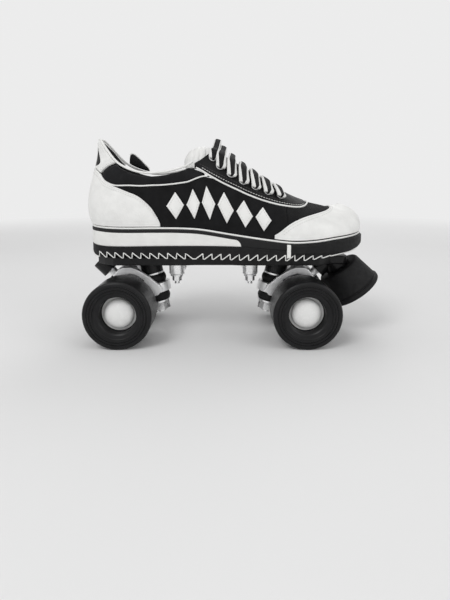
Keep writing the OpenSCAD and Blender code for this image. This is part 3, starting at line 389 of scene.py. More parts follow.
def piece(name, points, faces, material, node=None, body="skate", slot=None, uv=None, crease=40):
    """A closed mesh, from points in millimetres, that rides on a body and may stand for a CAD node."""
    mesh = bpy.data.meshes.new(name)
    mesh.from_pydata((np.asarray(points) * MM).tolist(), [], [list(f) for f in faces])
    if uv is not None:
        layer = mesh.uv_layers.new(name="metres")
        corner = np.zeros(len(mesh.loops), int)
        mesh.loops.foreach_get("vertex_index", corner)
        layer.data.foreach_set("uv", (np.asarray(uv)[corner] * MM).ravel())
    made = bmesh.new()
    made.from_mesh(mesh)
    bmesh.ops.remove_doubles(made, verts=made.verts, dist=WELD)
    bmesh.ops.dissolve_degenerate(made, edges=made.edges, dist=1e-7)
    bmesh.ops.recalc_face_normals(made, faces=made.faces)
    if made.calc_volume(signed=True) < 0:
        bmesh.ops.reverse_faces(made, faces=made.faces)
    made.to_mesh(mesh)
    made.free()
    return dress(add(name, mesh), material, node, body, slot, crease)


def dress(ob, material, node, body, slot, crease):
    """Gives a piece its finish and body and hides the CAD node that it stands for; the slot is not used."""
    ob.data.shade_smooth()
    ob.data.set_sharp_from_angle(angle=math.radians(crease))
    ob.data.materials.clear()
    ob.data.materials.append(material)
    if body:
        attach(ob, body)
    if node:
        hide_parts(node)
    slot or material.name.split(".")[0]
    return ob


def grid_faces(n, m, wrap=False):
    """Quads over n rows of m points, the rows closed up where wrap is set."""
    last = m if wrap else m - 1
    corners = ((0, 0), (1, 0), (1, 1), (0, 1))
    return [
        tuple((i + a) * m + (j + b) % m for a, b in corners)
        for i in range(n - 1) for j in range(last)
    ]


def loft(rings, joined=False):
    """Points and faces of a tube through rings, its ends closed or joined up."""
    rings = np.asarray(rings)
    n, k = rings.shape[:2]
    if joined:
        rings = np.concatenate([rings, rings[:1]])
        n += 1
    points = rings.reshape(-1, 3)
    faces = grid_faces(n, k, wrap=True)
    if not joined:
        points = np.concatenate([points, rings[:1].mean(1), rings[-1:].mean(1)])
        faces += [(j, (j + 1) % k, n * k) for j in range(k)]
        faces += [((n - 1) * k + (j + 1) % k, (n - 1) * k + j, n * k + 1) for j in range(k)]
    return points, faces


def merged(lofts):
    """One list of points and one of faces from several lofts."""
    points, faces, start = [], [], 0
    for new_points, new_faces in lofts:
        points.append(new_points)
        faces += [tuple(start + k for k in f) for f in new_faces]
        start += len(new_points)
    return np.concatenate(points), faces


def loft_uv(rings, girth):
    """Length along a loft and a share of its girth, for weaves that follow it."""
    rings = np.asarray(rings)
    along = lengths(rings.mean(1))
    round_it = np.linspace(0, girth, rings.shape[1], endpoint=False)
    uv = np.stack(np.broadcast_arrays(along[:, None], round_it[None, :]), -1).reshape(-1, 2)
    return np.concatenate([uv, np.zeros((2, 2))])


def tube(path, radius, sides, joined=False):
    """Rings of a round tube along a path."""
    path = np.asarray(path)
    if joined:
        ahead, behind = np.roll(path, -1, 0), np.roll(path, 1, 0)
    else:
        ahead = np.concatenate([path[1:], path[-1:]])
        behind = np.concatenate([path[:1], path[:-1]])
    d = unit(ahead - behind)
    side = unit(np.cross(d, [0, 0, 1]))
    up = np.cross(side, d)
    a = full_turn(sides)
    return (
        path[:, None] + radius * np.cos(a)[None, :, None] * side[:, None]
        + radius * np.sin(a)[None, :, None] * up[:, None]
    )


def cord(name, path, radius, sides, material, node=None, joined=False, crease=40):
    rings = tube(path, radius, sides, joined)
    return piece(name, *loft(rings, joined), material, node, crease=crease)


def lathe(profile, place, steps):
    """Points and faces of a closed outline of radius and height turned round an axis."""
    profile = np.asarray(profile, float)
    a = full_turn(steps)
    r, h = profile[:, 0], profile[:, 1]
    local = np.stack(np.broadcast_arrays(
        r[None] * np.cos(a)[:, None], r[None] * np.sin(a)[:, None], h[None]), -1)
    return loft(place(local), joined=True)


def filleted(outline, radius, steps=4):
    """A closed outline with its corners rounded, by less where its edges are short."""
    most = 0.45
    outline = [np.array(p, float) for p in outline]
    made = []
    for i, p in enumerate(outline):
        a, b = outline[i - 1], outline[(i + 1) % len(outline)]
        cut = min(radius, most * np.linalg.norm(a - p), most * np.linalg.norm(b - p))
        start, end = p + cut * unit(a - p), p + cut * unit(b - p)
        for u in np.linspace(0, 1, steps + 1):
            made.append((1 - u) ** 2 * start + 2 * u * (1 - u) * p + u * u * end)
    return made


def at_wheel(end, side):
    """Places a piece on a wheel, with heights from the wheel's inner face."""
    x, _, z = axle_at[end]
    return lambda p: np.stack([x + p[..., 0], side * (wheel_in + p[..., 2]), z + p[..., 1]], -1)


def leaning(at, lean, ahead=1):
    """Places a piece round an axis that leans from upright, ahead or back."""
    s, c = math.sin(lean), math.cos(lean)
    return lambda p: at + np.stack([
        ahead * (c * p[..., 0] + s * p[..., 2]), p[..., 1], c * p[..., 2] - s * p[..., 0]], -1)


def at_king(end):
    """Places a piece round a kingpin, with heights from the middle of the hanger's ring."""
    ahead = 1 if end == "front" else -1
    return leaning(axle_at[end] + np.array([-ahead * king_in, 0, king_h]), king_tilt, ahead)


# Panels sewn on the last
RIM_STEPS = np.array([0, 0.06, 0.25, 0.55, 1])


def graded(count, rim):
    """Shares from 0 to 1 with fine steps inside a rim at each end."""
    most = 0.3
    rim = np.minimum(np.asarray(rim, float), most)[..., None]
    inside = rim + (1 - 2 * rim) * np.linspace(0, 1, count)
    return np.concatenate([rim * RIM_STEPS[:-1], inside, 1 - rim * RIM_STEPS[-2::-1]], -1)


def rounded(depth, rim):
    """Height of a quarter round at a distance from the edge."""
    return np.sqrt(1 - (1 - np.clip(depth / rim, 0, 1)) ** 2)


def span(c0, c1, count, rows, low, high, rim):
    """Columns, shares and distances from the edge of a panel between two seams."""
    no_edge = 99
    c = c0 + (c1 - c0) * graded(count, rim / COLUMN / abs(c1 - c0))
    a, b = low(side_col(c)), high(side_col(c))
    length = np.maximum(np.linalg.norm(skin(c, b) - skin(c, a), axis=-1), 0.5)
    share = graded(rows, rim / length)
    t = a[:, None] * (1 - share) + b[:, None] * share
    upper = np.where(b[:, None] >= 1, no_edge, (1 - share) * length[:, None])
    ends = np.minimum(abs(c - c0), abs(c1 - c))[:, None] * COLUMN
    depth = np.minimum(np.minimum(share * length[:, None], upper), ends)
    return np.broadcast_to(c[:, None], t.shape), t, depth


def panel(name, grid, base, top, material, node, rim, dents=None, swell=None):
    """A closed panel over a grid of the last, its rim rounded down to its base."""
    c, t, depth = grid
    n, m = c.shape
    foot = 0.1
    high = base + (top - base) * (foot + (1 - foot) * rounded(depth, rim))
    if dents is not None:
        high = high - dents(depth)
    if swell is not None:
        high = high + swell(c, t)
    points = np.concatenate([lifted(c, t, h).reshape(-1, 3) for h in (high, base + 0 * t)])
    size = n * m
    upper = grid_faces(n, m)
    faces = upper + [tuple(v + size for v in f[::-1]) for f in upper]
    edge = [(start + j, start + j + 1) for start in (0, (n - 1) * m) for j in range(m - 1)]
    edge += [(i * m, (i + 1) * m) for i in range(n - 1)]
    open_top = [(i * m + m - 1, (i + 1) * m + m - 1) for i in range(n - 1)]
    flat_t = t.reshape(-1)
    edge += [
        (a, b) for a, b in open_top
        if min(flat_t[a], flat_t[b]) < 1 or side_col(c[a // m, 0]) < ridge_col
    ]
    faces += [(a, b, b + size, a + size) for a, b in edge]
    uv = np.stack([c * COLUMN, t * HEIGHT], -1).reshape(-1, 2)
    return piece(name, points, faces, material, node, uv=np.concatenate([uv, uv]), crease=50)


def on_side(grid, side):
    """A grid of the outer side, laid on the side that is asked for."""
    c, t, depth = grid
    return -side * c, t, depth


def seam_groove(offsets, deep=0.22, wide=0.5):
    """A shallow groove where a row of stitches pulls a panel in."""
    return lambda depth: sum(deep * np.exp(-(((depth - o) / wide) ** 2)) for o in offsets)


# Stitches
def spaced(step, rows, places):
    return np.stack([np.interp(places, step, rows[:, k]) for k in range(3)], -1)


def stitches(paths, radius):
    """Points and faces of short stitches laid along paths, each path with its normals."""
    pitch, length, peek = 2.6, 1.9, 0.2
    along_share = np.array([-1, -0.85, -0.4, 0.4, 0.85, 1])[:, None, None]
    thick = np.array([0.25, 0.75, 1, 1, 0.75, 0.25])[:, None, None]
    a = full_turn(6)
    cosines, sines = np.cos(a)[None, :, None], np.sin(a)[None, :, None]
    made = []
    for path, normal in paths:
        step = lengths(path)
        places = np.arange(pitch / 2, step[-1], pitch)
        at = spaced(step, path, places)
        up = unit(spaced(step, normal, places))
        d = unit(spaced(step, path, places + peek) - at)
        side = unit(np.cross(d, up))
        for p, v, s, n in zip(at, d, side, up):
            made.append(loft(p + v * (along_share * length / 2) + radius * thick * (cosines * s + sines * n)))
    return merged(made)


def seam_path(c, t, h):
    """A path over the last with its normals."""
    return lifted(c, t, h + 0 * np.asarray(t)), skin_out(c, t)


# Materials
class Finish:
    """A principled material built up from procedural layers."""

    # Noise lies mostly between these
    LOW, HIGH = 0.3, 0.7

    def __init__(self, name, color, roughness, **values):
        self.material = bpy.data.materials.new(name)
        self.material.use_nodes = True
        self.tree = self.material.node_tree
        self.shader = self.tree.nodes["Principled BSDF"]
        for key, value in {"Base Color": (*color, 1), "Roughness": roughness, **values}.items():
            self.shader.inputs[key].default_value = value
        self.where = self.tree.nodes.new("ShaderNodeTexCoord")
        self.color = color
        self.last_bump = None

    def node(self, kind, inputs=None, **settings):
        made = self.tree.nodes.new("ShaderNode" + kind)
        for key, value in settings.items():
            setattr(made, key, value)
        for key, value in (inputs or {}).items():
            if isinstance(value, bpy.types.NodeSocket):
                self.tree.links.new(value, made.inputs[key])
            else:
                made.inputs[key].default_value = value
        return made

    def math(self, operation, a, b=0.0):
        return self.node("Math", {0: a, 1: b}, operation=operation).outputs[0]

    def noise(self, size, detail=3.0, stretch=(1, 1, 1)):
        """Cloudy pattern whose blots measure about size millimetres."""
        spot = self.node("Mapping", {"Vector": self.where.outputs["Object"], "Scale": stretch})
        inputs = {"Vector": spot.outputs[0], "Scale": 1 / (size * MM), "Detail": detail, "Roughness": 0.55}
        return self.node("TexNoise", inputs).outputs["Fac"]

    def cells(self, size, feature="F1"):
        """Grain of cells that measure about size millimetres."""
        inputs = {"Vector": self.where.outputs["Object"], "Scale": 1 / (size * MM)}
        return self.node("TexVoronoi", inputs, feature=feature).outputs["Distance"]

    def weave(self, pitch):
        """Weave along a piece's own map."""
        spot = self.node("SeparateXYZ", {0: self.where.outputs["UV"]})
        return self.threads(pitch, spot.outputs[0], spot.outputs[1])

    def knit(self, pitch):
        """Weave on a pad that stands up: one thread runs round it, the other up."""
        spot = self.node("SeparateXYZ", {0: self.where.outputs["Object"]})
        return self.threads(pitch, self.math("ADD", spot.outputs[0], spot.outputs[1]), spot.outputs[2])

    def threads(self, pitch, along, across):
        turn = 2 * math.pi / (pitch * MM)
        waves = [self.math("SINE", self.math("MULTIPLY", place, turn)) for place in (along, across)]
        return self.math("MULTIPLY", waves[0], waves[1])

    def tint(self, fac, dark, light):
        """Varies the colour between a darker and a lighter share of it."""
        ramp = self.node("ValToRGB", {"Fac": fac})
        for end, place, share in zip(ramp.color_ramp.elements, (self.LOW, self.HIGH), (dark, light)):
            end.position = place
            end.color = (*[min(1, v * share) for v in self.color], 1)
        self.tree.links.new(ramp.outputs[0], self.shader.inputs["Base Color"])
        return ramp.outputs[0]

    def polish(self, fac, low, high):
        """Varies the roughness."""
        limits = {"From Min": self.LOW, "From Max": self.HIGH, "To Min": low, "To Max": high}
        spread = self.node("MapRange", {"Value": fac, **limits})
        self.tree.links.new(spread.outputs[0], self.shader.inputs["Roughness"])

    def bump(self, height, depth, strength=1.0):
        """Relief of depth millimetres, on top of what is there already."""
        inputs = {"Height": height, "Distance": depth * MM, "Strength": strength}
        if self.last_bump:
            inputs["Normal"] = self.last_bump
        self.last_bump = self.node("Bump", inputs).outputs[0]
        self.tree.links.new(self.last_bump, self.shader.inputs["Normal"])


BLACK = (0.008, 0.008, 0.0085)
WHITE = (0.80, 0.80, 0.785)


def cloth_finish(name, color, pitch, sheen, mapped=True):
    look = {"Sheen Weight": sheen, "Sheen Roughness": 0.4, "Specular IOR Level": 0.15}
    f = Finish(name, color, 0.85, **look)
    f.tint(f.noise(9), 0.75, 1.35)
    f.bump(f.weave(pitch) if mapped else f.knit(pitch), 0.12)
    f.bump(f.noise(14, 2), 0.35, 0.6)
    return f.material


def leather_finish(name, color, roughness, shade, gloss):
    f = Finish(name, color, roughness, **{"Specular IOR Level": gloss})
    f.tint(f.noise(11, 4), shade, 1.04)
    f.polish(f.noise(6), roughness - 0.08, roughness + 0.1)
    f.bump(f.cells(1.1, "SMOOTH_F1"), 0.09)
    f.bump(f.noise(12, 3), 0.3, 0.5)
    return f.material


def rubber_finish(name, color, roughness):
    f = Finish(name, color, roughness, **{"Specular IOR Level": 0.2})
    f.tint(f.noise(7, 5), 0.8, 1.3)
    f.polish(f.noise(3, 4), roughness - 0.1, roughness + 0.1)
    f.bump(f.noise(0.8, 4), 0.05)
    return f.material


def foam_finish(name, color):
    f = Finish(name, color, 0.55, **{"Specular IOR Level": 0.25})
    f.tint(f.noise(16, 3), 0.93, 1.03)
    f.bump(f.cells(0.7), 0.05)
    f.bump(f.noise(9, 2), 0.15, 0.5)
    return f.material


def urethane_finish(name, color):
    f = Finish(name, color, 0.36, **{"Specular IOR Level": 0.2, "Coat Weight": 0.05, "Coat Roughness": 0.25})
    f.tint(f.noise(10, 5), 0.8, 1.4)
    f.polish(f.noise(2.5, 5), 0.28, 0.46)
    f.bump(f.noise(1.2, 4), 0.04)
    return f.material


def plastic_finish(name, color):
    f = Finish(name, color, 0.24, **{"Subsurface Weight": 0.05, "Subsurface Radius": (0.002, 0.002, 0.002)})
    f.tint(f.noise(12, 3), 0.96, 1.02)
    f.polish(f.noise(4, 4), 0.18, 0.32)
    f.bump(f.noise(3, 2), 0.03)
    return f.material


def metal_finish(name, color, roughness, grain, depth, metallic=1.0):
    f = Finish(name, color, roughness, **{"Metallic": metallic})
    f.tint(f.noise(8, 4), 0.93, 1.03)
    f.polish(f.noise(1.6, 5, stretch=(1, 0.25, 1)), roughness - 0.08, roughness + 0.14)
    f.bump(f.noise(grain, 4), depth)
    return f.material


def enamel_finish(name, color):
    f = Finish(name, color, 0.34, **{"Specular IOR Level": 0.2, "Coat Weight": 0.12, "Coat Roughness": 0.18})
    f.tint(f.noise(9, 4), 0.8, 1.3)
    f.polish(f.noise(3, 4), 0.28, 0.42)
    f.bump(f.noise(1.5, 3), 0.05)
    return f.material


def thread_finish(name, color):
    f = Finish(name, color, 0.7, **{"Sheen Weight": 0.3})
    f.tint(f.noise(1.5), 0.85, 1.05)
    f.bump(f.noise(0.4, 2), 0.05)
    return f.material


def lace_finish(name):
    """Black braid with pale edges, which are a painted highlight."""
    f = Finish(name, BLACK, 0.7, **{"Sheen Weight": 0.04, "Specular IOR Level": 0.15})
    highlight_from, pitch, slant = 0.66, 1.3, 7
    spot = f.node("SeparateXYZ", {0: f.where.outputs["UV"]})
    across = f.math("ABSOLUTE", spot.outputs[1])
    # Past a share of the half width the braid's edges are painted white: a painted highlight
    edge = f.math("GREATER_THAN", across, highlight_from)
    shade = f.tint(f.noise(1.5), 0.7, 1.6)
    # White mixed over the edges, the painted highlight
    both = f.node("Mix", {"Factor": edge, "A": shade, "B": (*WHITE, 1)}, data_type="RGBA")
    mix_out = [o for o in both.outputs if o.type == "RGBA"][0]
    f.tree.links.new(mix_out, f.shader.inputs["Base Color"])
    along = f.math("MULTIPLY", spot.outputs[0], 2 * math.pi / (pitch * MM))
    braid = f.math("SINE", f.math("ADD", along, f.math("MULTIPLY", across, slant)))
    f.bump(braid, 0.14)
    return f.material


cloth_black = cloth_finish("cloth_black", BLACK, 0.9, 0.05)
lining_black = cloth_finish("lining_black", (0.011, 0.011, 0.012), 1.3, 0.08, mapped=False)
terry_grey = cloth_finish("terry_grey", (0.55, 0.55, 0.54), 1.6, 0.4)
leather_black = leather_finish("leather_black", BLACK, 0.46, 0.75, 0.15)
leather_white = leather_finish("leather_white", WHITE, 0.46, 0.93, 0.4)
rubber_black = rubber_finish("rubber_black", BLACK, 0.62)
foam_black = foam_finish("foam_black", (0.009, 0.009, 0.0095))
foam_white = foam_finish("foam_white", (0.80, 0.80, 0.78))
tyre_black = urethane_finish("tyre_black", BLACK)
hub_white = plastic_finish("hub_white", (0.82, 0.82, 0.81))
cast_metal = metal_finish("cast_metal", (0.93, 0.93, 0.935), 0.42, 2.2, 0.03, 0.75)
bright_steel = metal_finish("bright_steel", (0.93, 0.93, 0.935), 0.3, 1.0, 0.02)
bearing_steel = metal_finish("bearing_steel", (0.72, 0.72, 0.73), 0.3, 0.8, 0.02)
plate_black = enamel_finish("plate_black", BLACK)
cup_black = rubber_finish("cup_black", (0.02, 0.02, 0.021), 0.5)
thread_white = thread_finish("thread_white", (0.70, 0.70, 0.68))
thread_black = thread_finish("thread_black", (0.02, 0.02, 0.02))
lace_black = lace_finish("lace_black")


# Shoe: quarters, vamp and the panels sewn on them
def sole_line(k):
    return 0 * k


def seam(table):
    return lambda k: eased(table, k)


def top_line(c):
    """Share of a column's height at the top edge, which is fuller beside the tip of the heel tab."""
    fuller, at, wide = 0.022, 0.6, 0.32
    return 1 + fuller * np.exp(-(((side_col(c) - at) / wide) ** 2))


def heel_shares(rim, tall, wide, rows, cols):
    """Shares up and across a panel on the back of the heel, and the distances from its foot or top."""
    share = graded(rows, rim / tall)[None, :]
    across = 2 * graded(cols, rim / wide)[:, None] - 1
    return share, across, np.minimum(share, 1 - share) * tall


def tab_grid(rim):
    tall, wide = 30, 40
    share, across, from_ends = heel_shares(rim, tall, wide, 24, 48)
    c = straight(tab_edge, tab_foot + (1 - tab_foot) * share) * across
    t = tab_foot + (top_line(c) - tab_foot) * share
    return c, t, np.minimum(from_ends, (1 - abs(across)) * wide / 2)


def insert_grid(rim):
    tall, wide, column = 18, 30, 16
    tip, belly, skew = 0.18, 0.66, 0.8
    low, high = insert_span
    share, across, from_ends = heel_shares(rim, tall, wide, 20, 16)
    half = tip + belly * np.sin(np.pi * share**skew)
    c = half * across
    t = np.broadcast_to(low + (high - low) * share, c.shape)
    return c, t, np.minimum(from_ends, (1 - abs(across)) * half * column)


def toe_swell(c, t):
    """How far the stiffened toe stands out over the last."""
    cols, shares = (9.2, 10.5), (0.08, 0.6)
    return toe_puff * blend(*cols, side_col(c)) * blend(*shares, t)


def make_upper():
    wall_rim, rim, stay_rim, single_row = 0.4, 0.9, 0.8, 1.6
    twin, single = seam_groove(seam_rows), seam_groove((single_row,))
    grid = span(-quarter_end, quarter_end, 220, 30, sole_line, seam(quarter_top), wall_rim)
    panel("quarters_cloth", grid, -wall_t, 0, cloth_black, "quarters", wall_rim)
    grid = span(quarter_end, COLS - quarter_end, 130, 30, sole_line, seam(vamp_top), wall_rim)
    panel("vamp_cloth", grid, -wall_t, 0, cloth_black, "vamp", wall_rim)
    grid = span(-counter_end, counter_end, 160, 34, bead_share, seam(counter_top), rim)
    panel("heel_counter_leather", grid, sewn, overlay_high, leather_white, "heel_counter", rim, twin)
    grid = span(cap_start, COLS - cap_start, 200, 40, bead_share, seam(cap_top), rim)
    panel("toe_cap_leather", grid, sewn, overlay_high, leather_white, "toe_cap", rim, twin, toe_swell)
    panel("heel_tab_leather", tab_grid(rim), -wall_t, stay_high, leather_white, "heel_tab", rim, single)
    make_heel_insert()
    stay = span(*stay_cols, 140, 24, seam(stay_seam), seam(stay_top), stay_rim)
    for name, side in SIDES.items():
        ob = panel(name + "_eyestay_leather", on_side(stay, side), -wall_t, stay_high, leather_black,
                   "eyestays" if name == "outer" else None, stay_rim, single)
        punch(ob, side)


def make_heel_insert():
    """Black lens let into the heel tab, with a pale tape down its middle."""
    let_in, grid_rim, rim = 0.3, 0.6, 0.4
    tape_r, tape_off, tape_top = 1.2, 0.1, 0.985
    panel("heel_insert_leather", insert_grid(grid_rim), stay_high - let_in, stay_high + let_in,
          leather_black, "heel_insert", rim)
    t = np.linspace(tab_foot, tape_top, 60)
    cord("heel_tape", lifted(0 * t, t, stay_high + tape_off + 0 * t), tape_r, 12, leather_white)


def lace_col(k):
    return lace_cols[0] + (lace_cols[1] - lace_cols[0]) * (k / (lace_n - 1)) ** lace_crowd


def eyelet_t(c):
    return float(straight(eyelet_at, abs(c)))


def punch(ob, side):
    """Holes for the eyelets through an eyestay."""
    hole_r, reach = 3.6, 5
    a = full_turn(24)[:, None]
    holes = []
    for k in range(lace_n):
        c = -side * lace_col(k)
        at, n = skin(c, eyelet_t(c)), skin_out(c, eyelet_t(c))
        u = unit(np.cross(n, [0, 0, 1]))
        rim = at + hole_r * (np.cos(a) * u + np.sin(a) * np.cross(n, u))
        holes.append(loft(np.stack([rim - reach * n, rim + reach * n])))
    points, faces = merged(holes)
    mesh = bpy.data.meshes.new("punch")
    mesh.from_pydata((points * MM).tolist(), [], faces)
    tool = add("punch", mesh)
    cut = ob.modifiers.new("cut", "BOOLEAN")
    cut.object = tool
    cut.operation = "DIFFERENCE"
    cut.solver = "EXACT"
    bake(ob)
    drop_fins(ob.data)
    bpy.data.objects.remove(tool)


def drop_fins(mesh):
    """Takes out pairs of faces that a cut leaves back to back on the same corners."""
    made = bmesh.new()
    made.from_mesh(mesh)
    bmesh.ops.triangulate(made, faces=made.faces)
    bmesh.ops.remove_doubles(made, verts=made.verts, dist=WELD)
    made.verts.index_update()
    same = {}
    for face in made.faces:
        same.setdefault(frozenset(v.index for v in face.verts), []).append(face)
    fins = [face for faces in same.values() if len(faces) > 1 for face in faces]
    bmesh.ops.delete(made, geom=fins, context="FACES")
    made.to_mesh(mesh)
    made.free()


def bake(ob):
    """Applies a piece's modifiers to its mesh."""
    graph = bpy.context.evaluated_depsgraph_get()
    mesh = bpy.data.meshes.new_from_object(ob.evaluated_get(graph))
    ob.modifiers.clear()
    ob.data = mesh


# Lozenges: a row of patches along each side, widest and tallest in their middles
def lozenge_at(k, u, v):
    """Column and share at a place inside lozenge k, u along the shoe and v up, both from -1 to 1."""
    step = (lozenge_cols[1] - lozenge_cols[0]) / lozenge_n
    c = lozenge_cols[0] + step * (k + 0.5) + u * lozenge_w * step / 2
    low, high = bead_share(c), straight(quarter_top, c)
    return c, (low + high) / 2 + v * lozenge_h * (high - low) / 2


def lozenge_grid(k):
    tip, half_height, rim = 0.03, 6, 0.1
    across = 2 * graded(15, rim) - 1
    u = np.broadcast_to(across[:, None], (len(across), len(across)))
    tall = np.maximum(tip, 1 - abs(u))
    c, t = lozenge_at(k, u, tall * across[None, :])
    return c, t, half_height * tall * (1 - abs(across))[None, :]


def make_lozenges():
    rim, row, deep = 0.7, 1.5, 0.15
    for k in range(lozenge_n):
        for name, side in SIDES.items():
            node = "side_lozenges" if name == "outer" and k == 0 else None
            panel(f"{name}_lozenge_{k + 1}", on_side(lozenge_grid(k), side), sewn, overlay_high,
                  leather_white, node, rim, seam_groove((row,), deep))


def lozenge_seam(k, side):
    inset, sunk = 0.72, 0.1
    corners = inset * np.array([(-1, 0), (0, 1), (1, 0), (0, -1), (-1, 0)])
    u, v = (np.interp(np.linspace(0, 4, 61), np.arange(5), corners[:, i]) for i in (0, 1))
    c, t = lozenge_at(k, u, v)
    return seam_path(-side * c, t, overlay_high - sunk)


# Edges of the upper: piping, bead and the pale trim along seams
def make_edges():
    piping_end, inside, bead_off = 4.25, 0.6, 0.1
    c = np.linspace(-piping_end, piping_end, 240)
    path = lifted(c, top_line(c), 0 * c - inside) + np.array([0, 0, piping_r + inside])
    cord("top_piping_cord", path, piping_r, 14, leather_white, "top_piping")
    c = np.linspace(0, COLS, 480, endpoint=False)
    path = skin(c, 0) + foot_out(c) * (bead_r + soft + bead_off) + np.array([0, 0, bead_r])
    cord("welt_bead", path, bead_r, 12, leather_white, "welt", joined=True)
    # Name, seam, columns, steps, drop under the seam, height and radius of the cords along seams
    cords = (
        ("_collar_cord", collar_seam, (1.02, 4.84), 170, 0.012, 0.5, 0.75),
        ("_stay_cord", stay_seam, (4.4, 8.03), 190, 0.014, 0.55, 0.85),
    )
    for side_name, side in SIDES.items():
        for name, table, cols, steps, drop, high, radius in cords:
            c = np.linspace(*cols, steps)
            path = lifted(-side * c, eased(table, c) - drop, high + 0 * c)
            cord(side_name + name, path, radius, 10, leather_white)


def make_stitches():
    """Rows of stitches inside the edges of the panels."""
    white, black = [], []
    near, far = (row / HEIGHT for row in seam_rows)
    # Seam, its columns, and how much the panel's slope stretches an inset
    twin_seams = ((counter_top, (0.05, 3.2), 1 / 1.3), (cap_top, (6.95, 9.15), 1.15))
    stay_span, skip, tab_span, tab_inset = (4.55, 7.75), 6, (0.72, 0.97), 0.08
    white_r, black_r = 0.3, 0.32
    on_overlay, on_stay = overlay_high - laid_in, stay_high - laid_in
    for side in SIDES.values():
        for table, cols, slope in twin_seams:
            c = np.linspace(*cols, 160)
            for inset in (near, far):
                white.append(seam_path(-side * c, eased(table, c) - inset * slope, on_overlay))
        c = np.linspace(*stay_span, 200)
        black.append(seam_path(-side * c, eased(stay_seam, c) + far, on_stay))
        c = c[skip:]
        white.append(seam_path(-side * c, eased(stay_seam, c) + near, on_stay))
        t = np.linspace(*tab_span, 60)
        white.append(seam_path(-side * (straight(tab_edge, t) - tab_inset), t, on_stay))
        white += [lozenge_seam(k, side) for k in range(lozenge_n)]
    piece("pale_stitches", *stitches(white, white_r), thread_white, slot="leather_white")
    piece("dark_stitches", *stitches(black, black_r), thread_black, slot="leather_black")


# Padded pieces
def collar_rings(count, around):
    """Rings of the collar, which lies inside the heel tab and stands out in front of it."""
    end, proud, tuck, top = 4.66, 1.2, 0.015, 0.995
    square, slope, behind, turn, thin, fuller = 0.7, 0.02, 0.02, 0.12, 0.8, 0.2
    c = np.linspace(-end, end, count)
    k = side_col(c)
    low = eased(collar_seam, k) - tuck
    high = np.minimum(top, eased(collar_front, k))
    a = full_turn(around)
    t = (low + high)[:, None] / 2 + (high - low)[:, None] / 2 * round_pow(np.cos(a), square)[None]
    t = t - slope * (1 - np.sin(a))[None] * np.maximum(np.cos(a), 0)[None]
    edge = straight(tab_edge, t) + behind
    w = blend(edge, edge + turn, k[:, None])
    out = -wall_t - sewn + (proud + wall_t + sewn) * w
    inner = out - collar_t * (thin + fuller * w)
    o = (out + inner) / 2 + (out - inner) / 2 * round_pow(np.sin(a), square)[None]
    return lifted(np.broadcast_to(c[:, None], t.shape), np.minimum(t, 1), o)


def tongue_rings(count, around):
    """Rings of the tongue from the toe end up the throat and back over the top."""
    # Column, place behind it, crown over the throat's edge, half width, droop of the sides, thickness
    rows = np.array([
        (8.3, 0, -5.5, 6, 2, 0.5), (7.85, 0, -4.8, 9, 3, 0.6), (7.4, 0, -4.2, 12, 4.5, 0.75),
        (7, 0, -3.4, 15, 7, 0.9), (6.5, 0, -2.8, 18, 11.5, 1), (6, 0, -1.8, 19, 15, 1),
        (5.5, 0, 1.2, 19.5, 19.5, 1), (5.2, 0, 3, 19.5, 21.5, 1), (5, 0, 4.6, 20, 21, 1.05),
        (5, -8, 6, 20, 18, 1.15), (5, -15, 5, 19, 16, 1.25), (5, -21, 1.5, 17, 14, 1.15),
        (5, -25, -4, 13, 9, 0.8), (5, -26.6, -7.5, 8, 4, 0.4),
    ])
    side_round, face_round = 0.8, 0.7
    spot = np.arange(len(rows))
    u = np.linspace(0, len(rows) - 1, count)
    column, behind, crown, half, droop, thick = (
        smooth(list(zip(spot, rows[:, k])), u)[:, None] for k in range(6)
    )
    s = skin(column, 1)
    a = full_turn(around)[None]
    y = half * round_pow(np.cos(a), side_round)
    th = tongue_t * thick
    sag = droop * y * y / (half * half)
    z = s[..., 2] + crown - sag - th / 2 + th / 2 * round_pow(np.sin(a), face_round)
    return np.stack(np.broadcast_arrays(s[..., 0] + behind, y, z), -1)


def lobe_rings(count, around):
    """Rings of the ankle lobe, which stands on the inner side's top line."""
    first, last, inward, clear, wall_share = 1.92, 2.7, 2.4, 1, 0.9
    low, thin, belly, square = 1.5, 1, 2.6, 0.8
    u = np.linspace(0, 1, count)
    c = -(first + (last - first) * u)
    p = skin(c, 1) + np.array([0, 0, 2 * piping_r + clear])
    o = unit(skin_out(c, wall_share) * np.array([1, 1, 0]))
    h = low + lobe_h * np.abs(np.sin(np.pi * np.sqrt(u))) ** square
    w = thin + belly * np.sin(np.pi * u)
    a = full_turn(around)
    rise = (h / 2)[:, None] * (1 + round_pow(np.cos(a), square)[None])
    return (
        (p - inward * o)[:, None] + upward(rise)
        + (w[:, None] * round_pow(np.sin(a), square)[None])[..., None] * o[:, None]
    )


def make_lobe_piping(rings):
    """Pale cord over the lobe's ridge, which is the first point of each ring."""
    radius, lift = 0.9, 0.3
    ridge = rings[2:-1, 0] + np.array([0, 0, lift])
    cord("ankle_lobe_piping", ridge, radius, 10, leather_white)


def coordinates(mesh):
    flat = np.zeros(3 * len(mesh.vertices))
    mesh.vertices.foreach_get("co", flat)
    return flat.reshape(-1, 3)


def remesh(ob, voxel):
    """Covers a piece with an even mesh of about voxel millimetres."""
    cover = ob.modifiers.new("cover", "REMESH")
    cover.mode = "VOXEL"
    cover.voxel_size = voxel * MM
    cover.use_smooth_shade = True


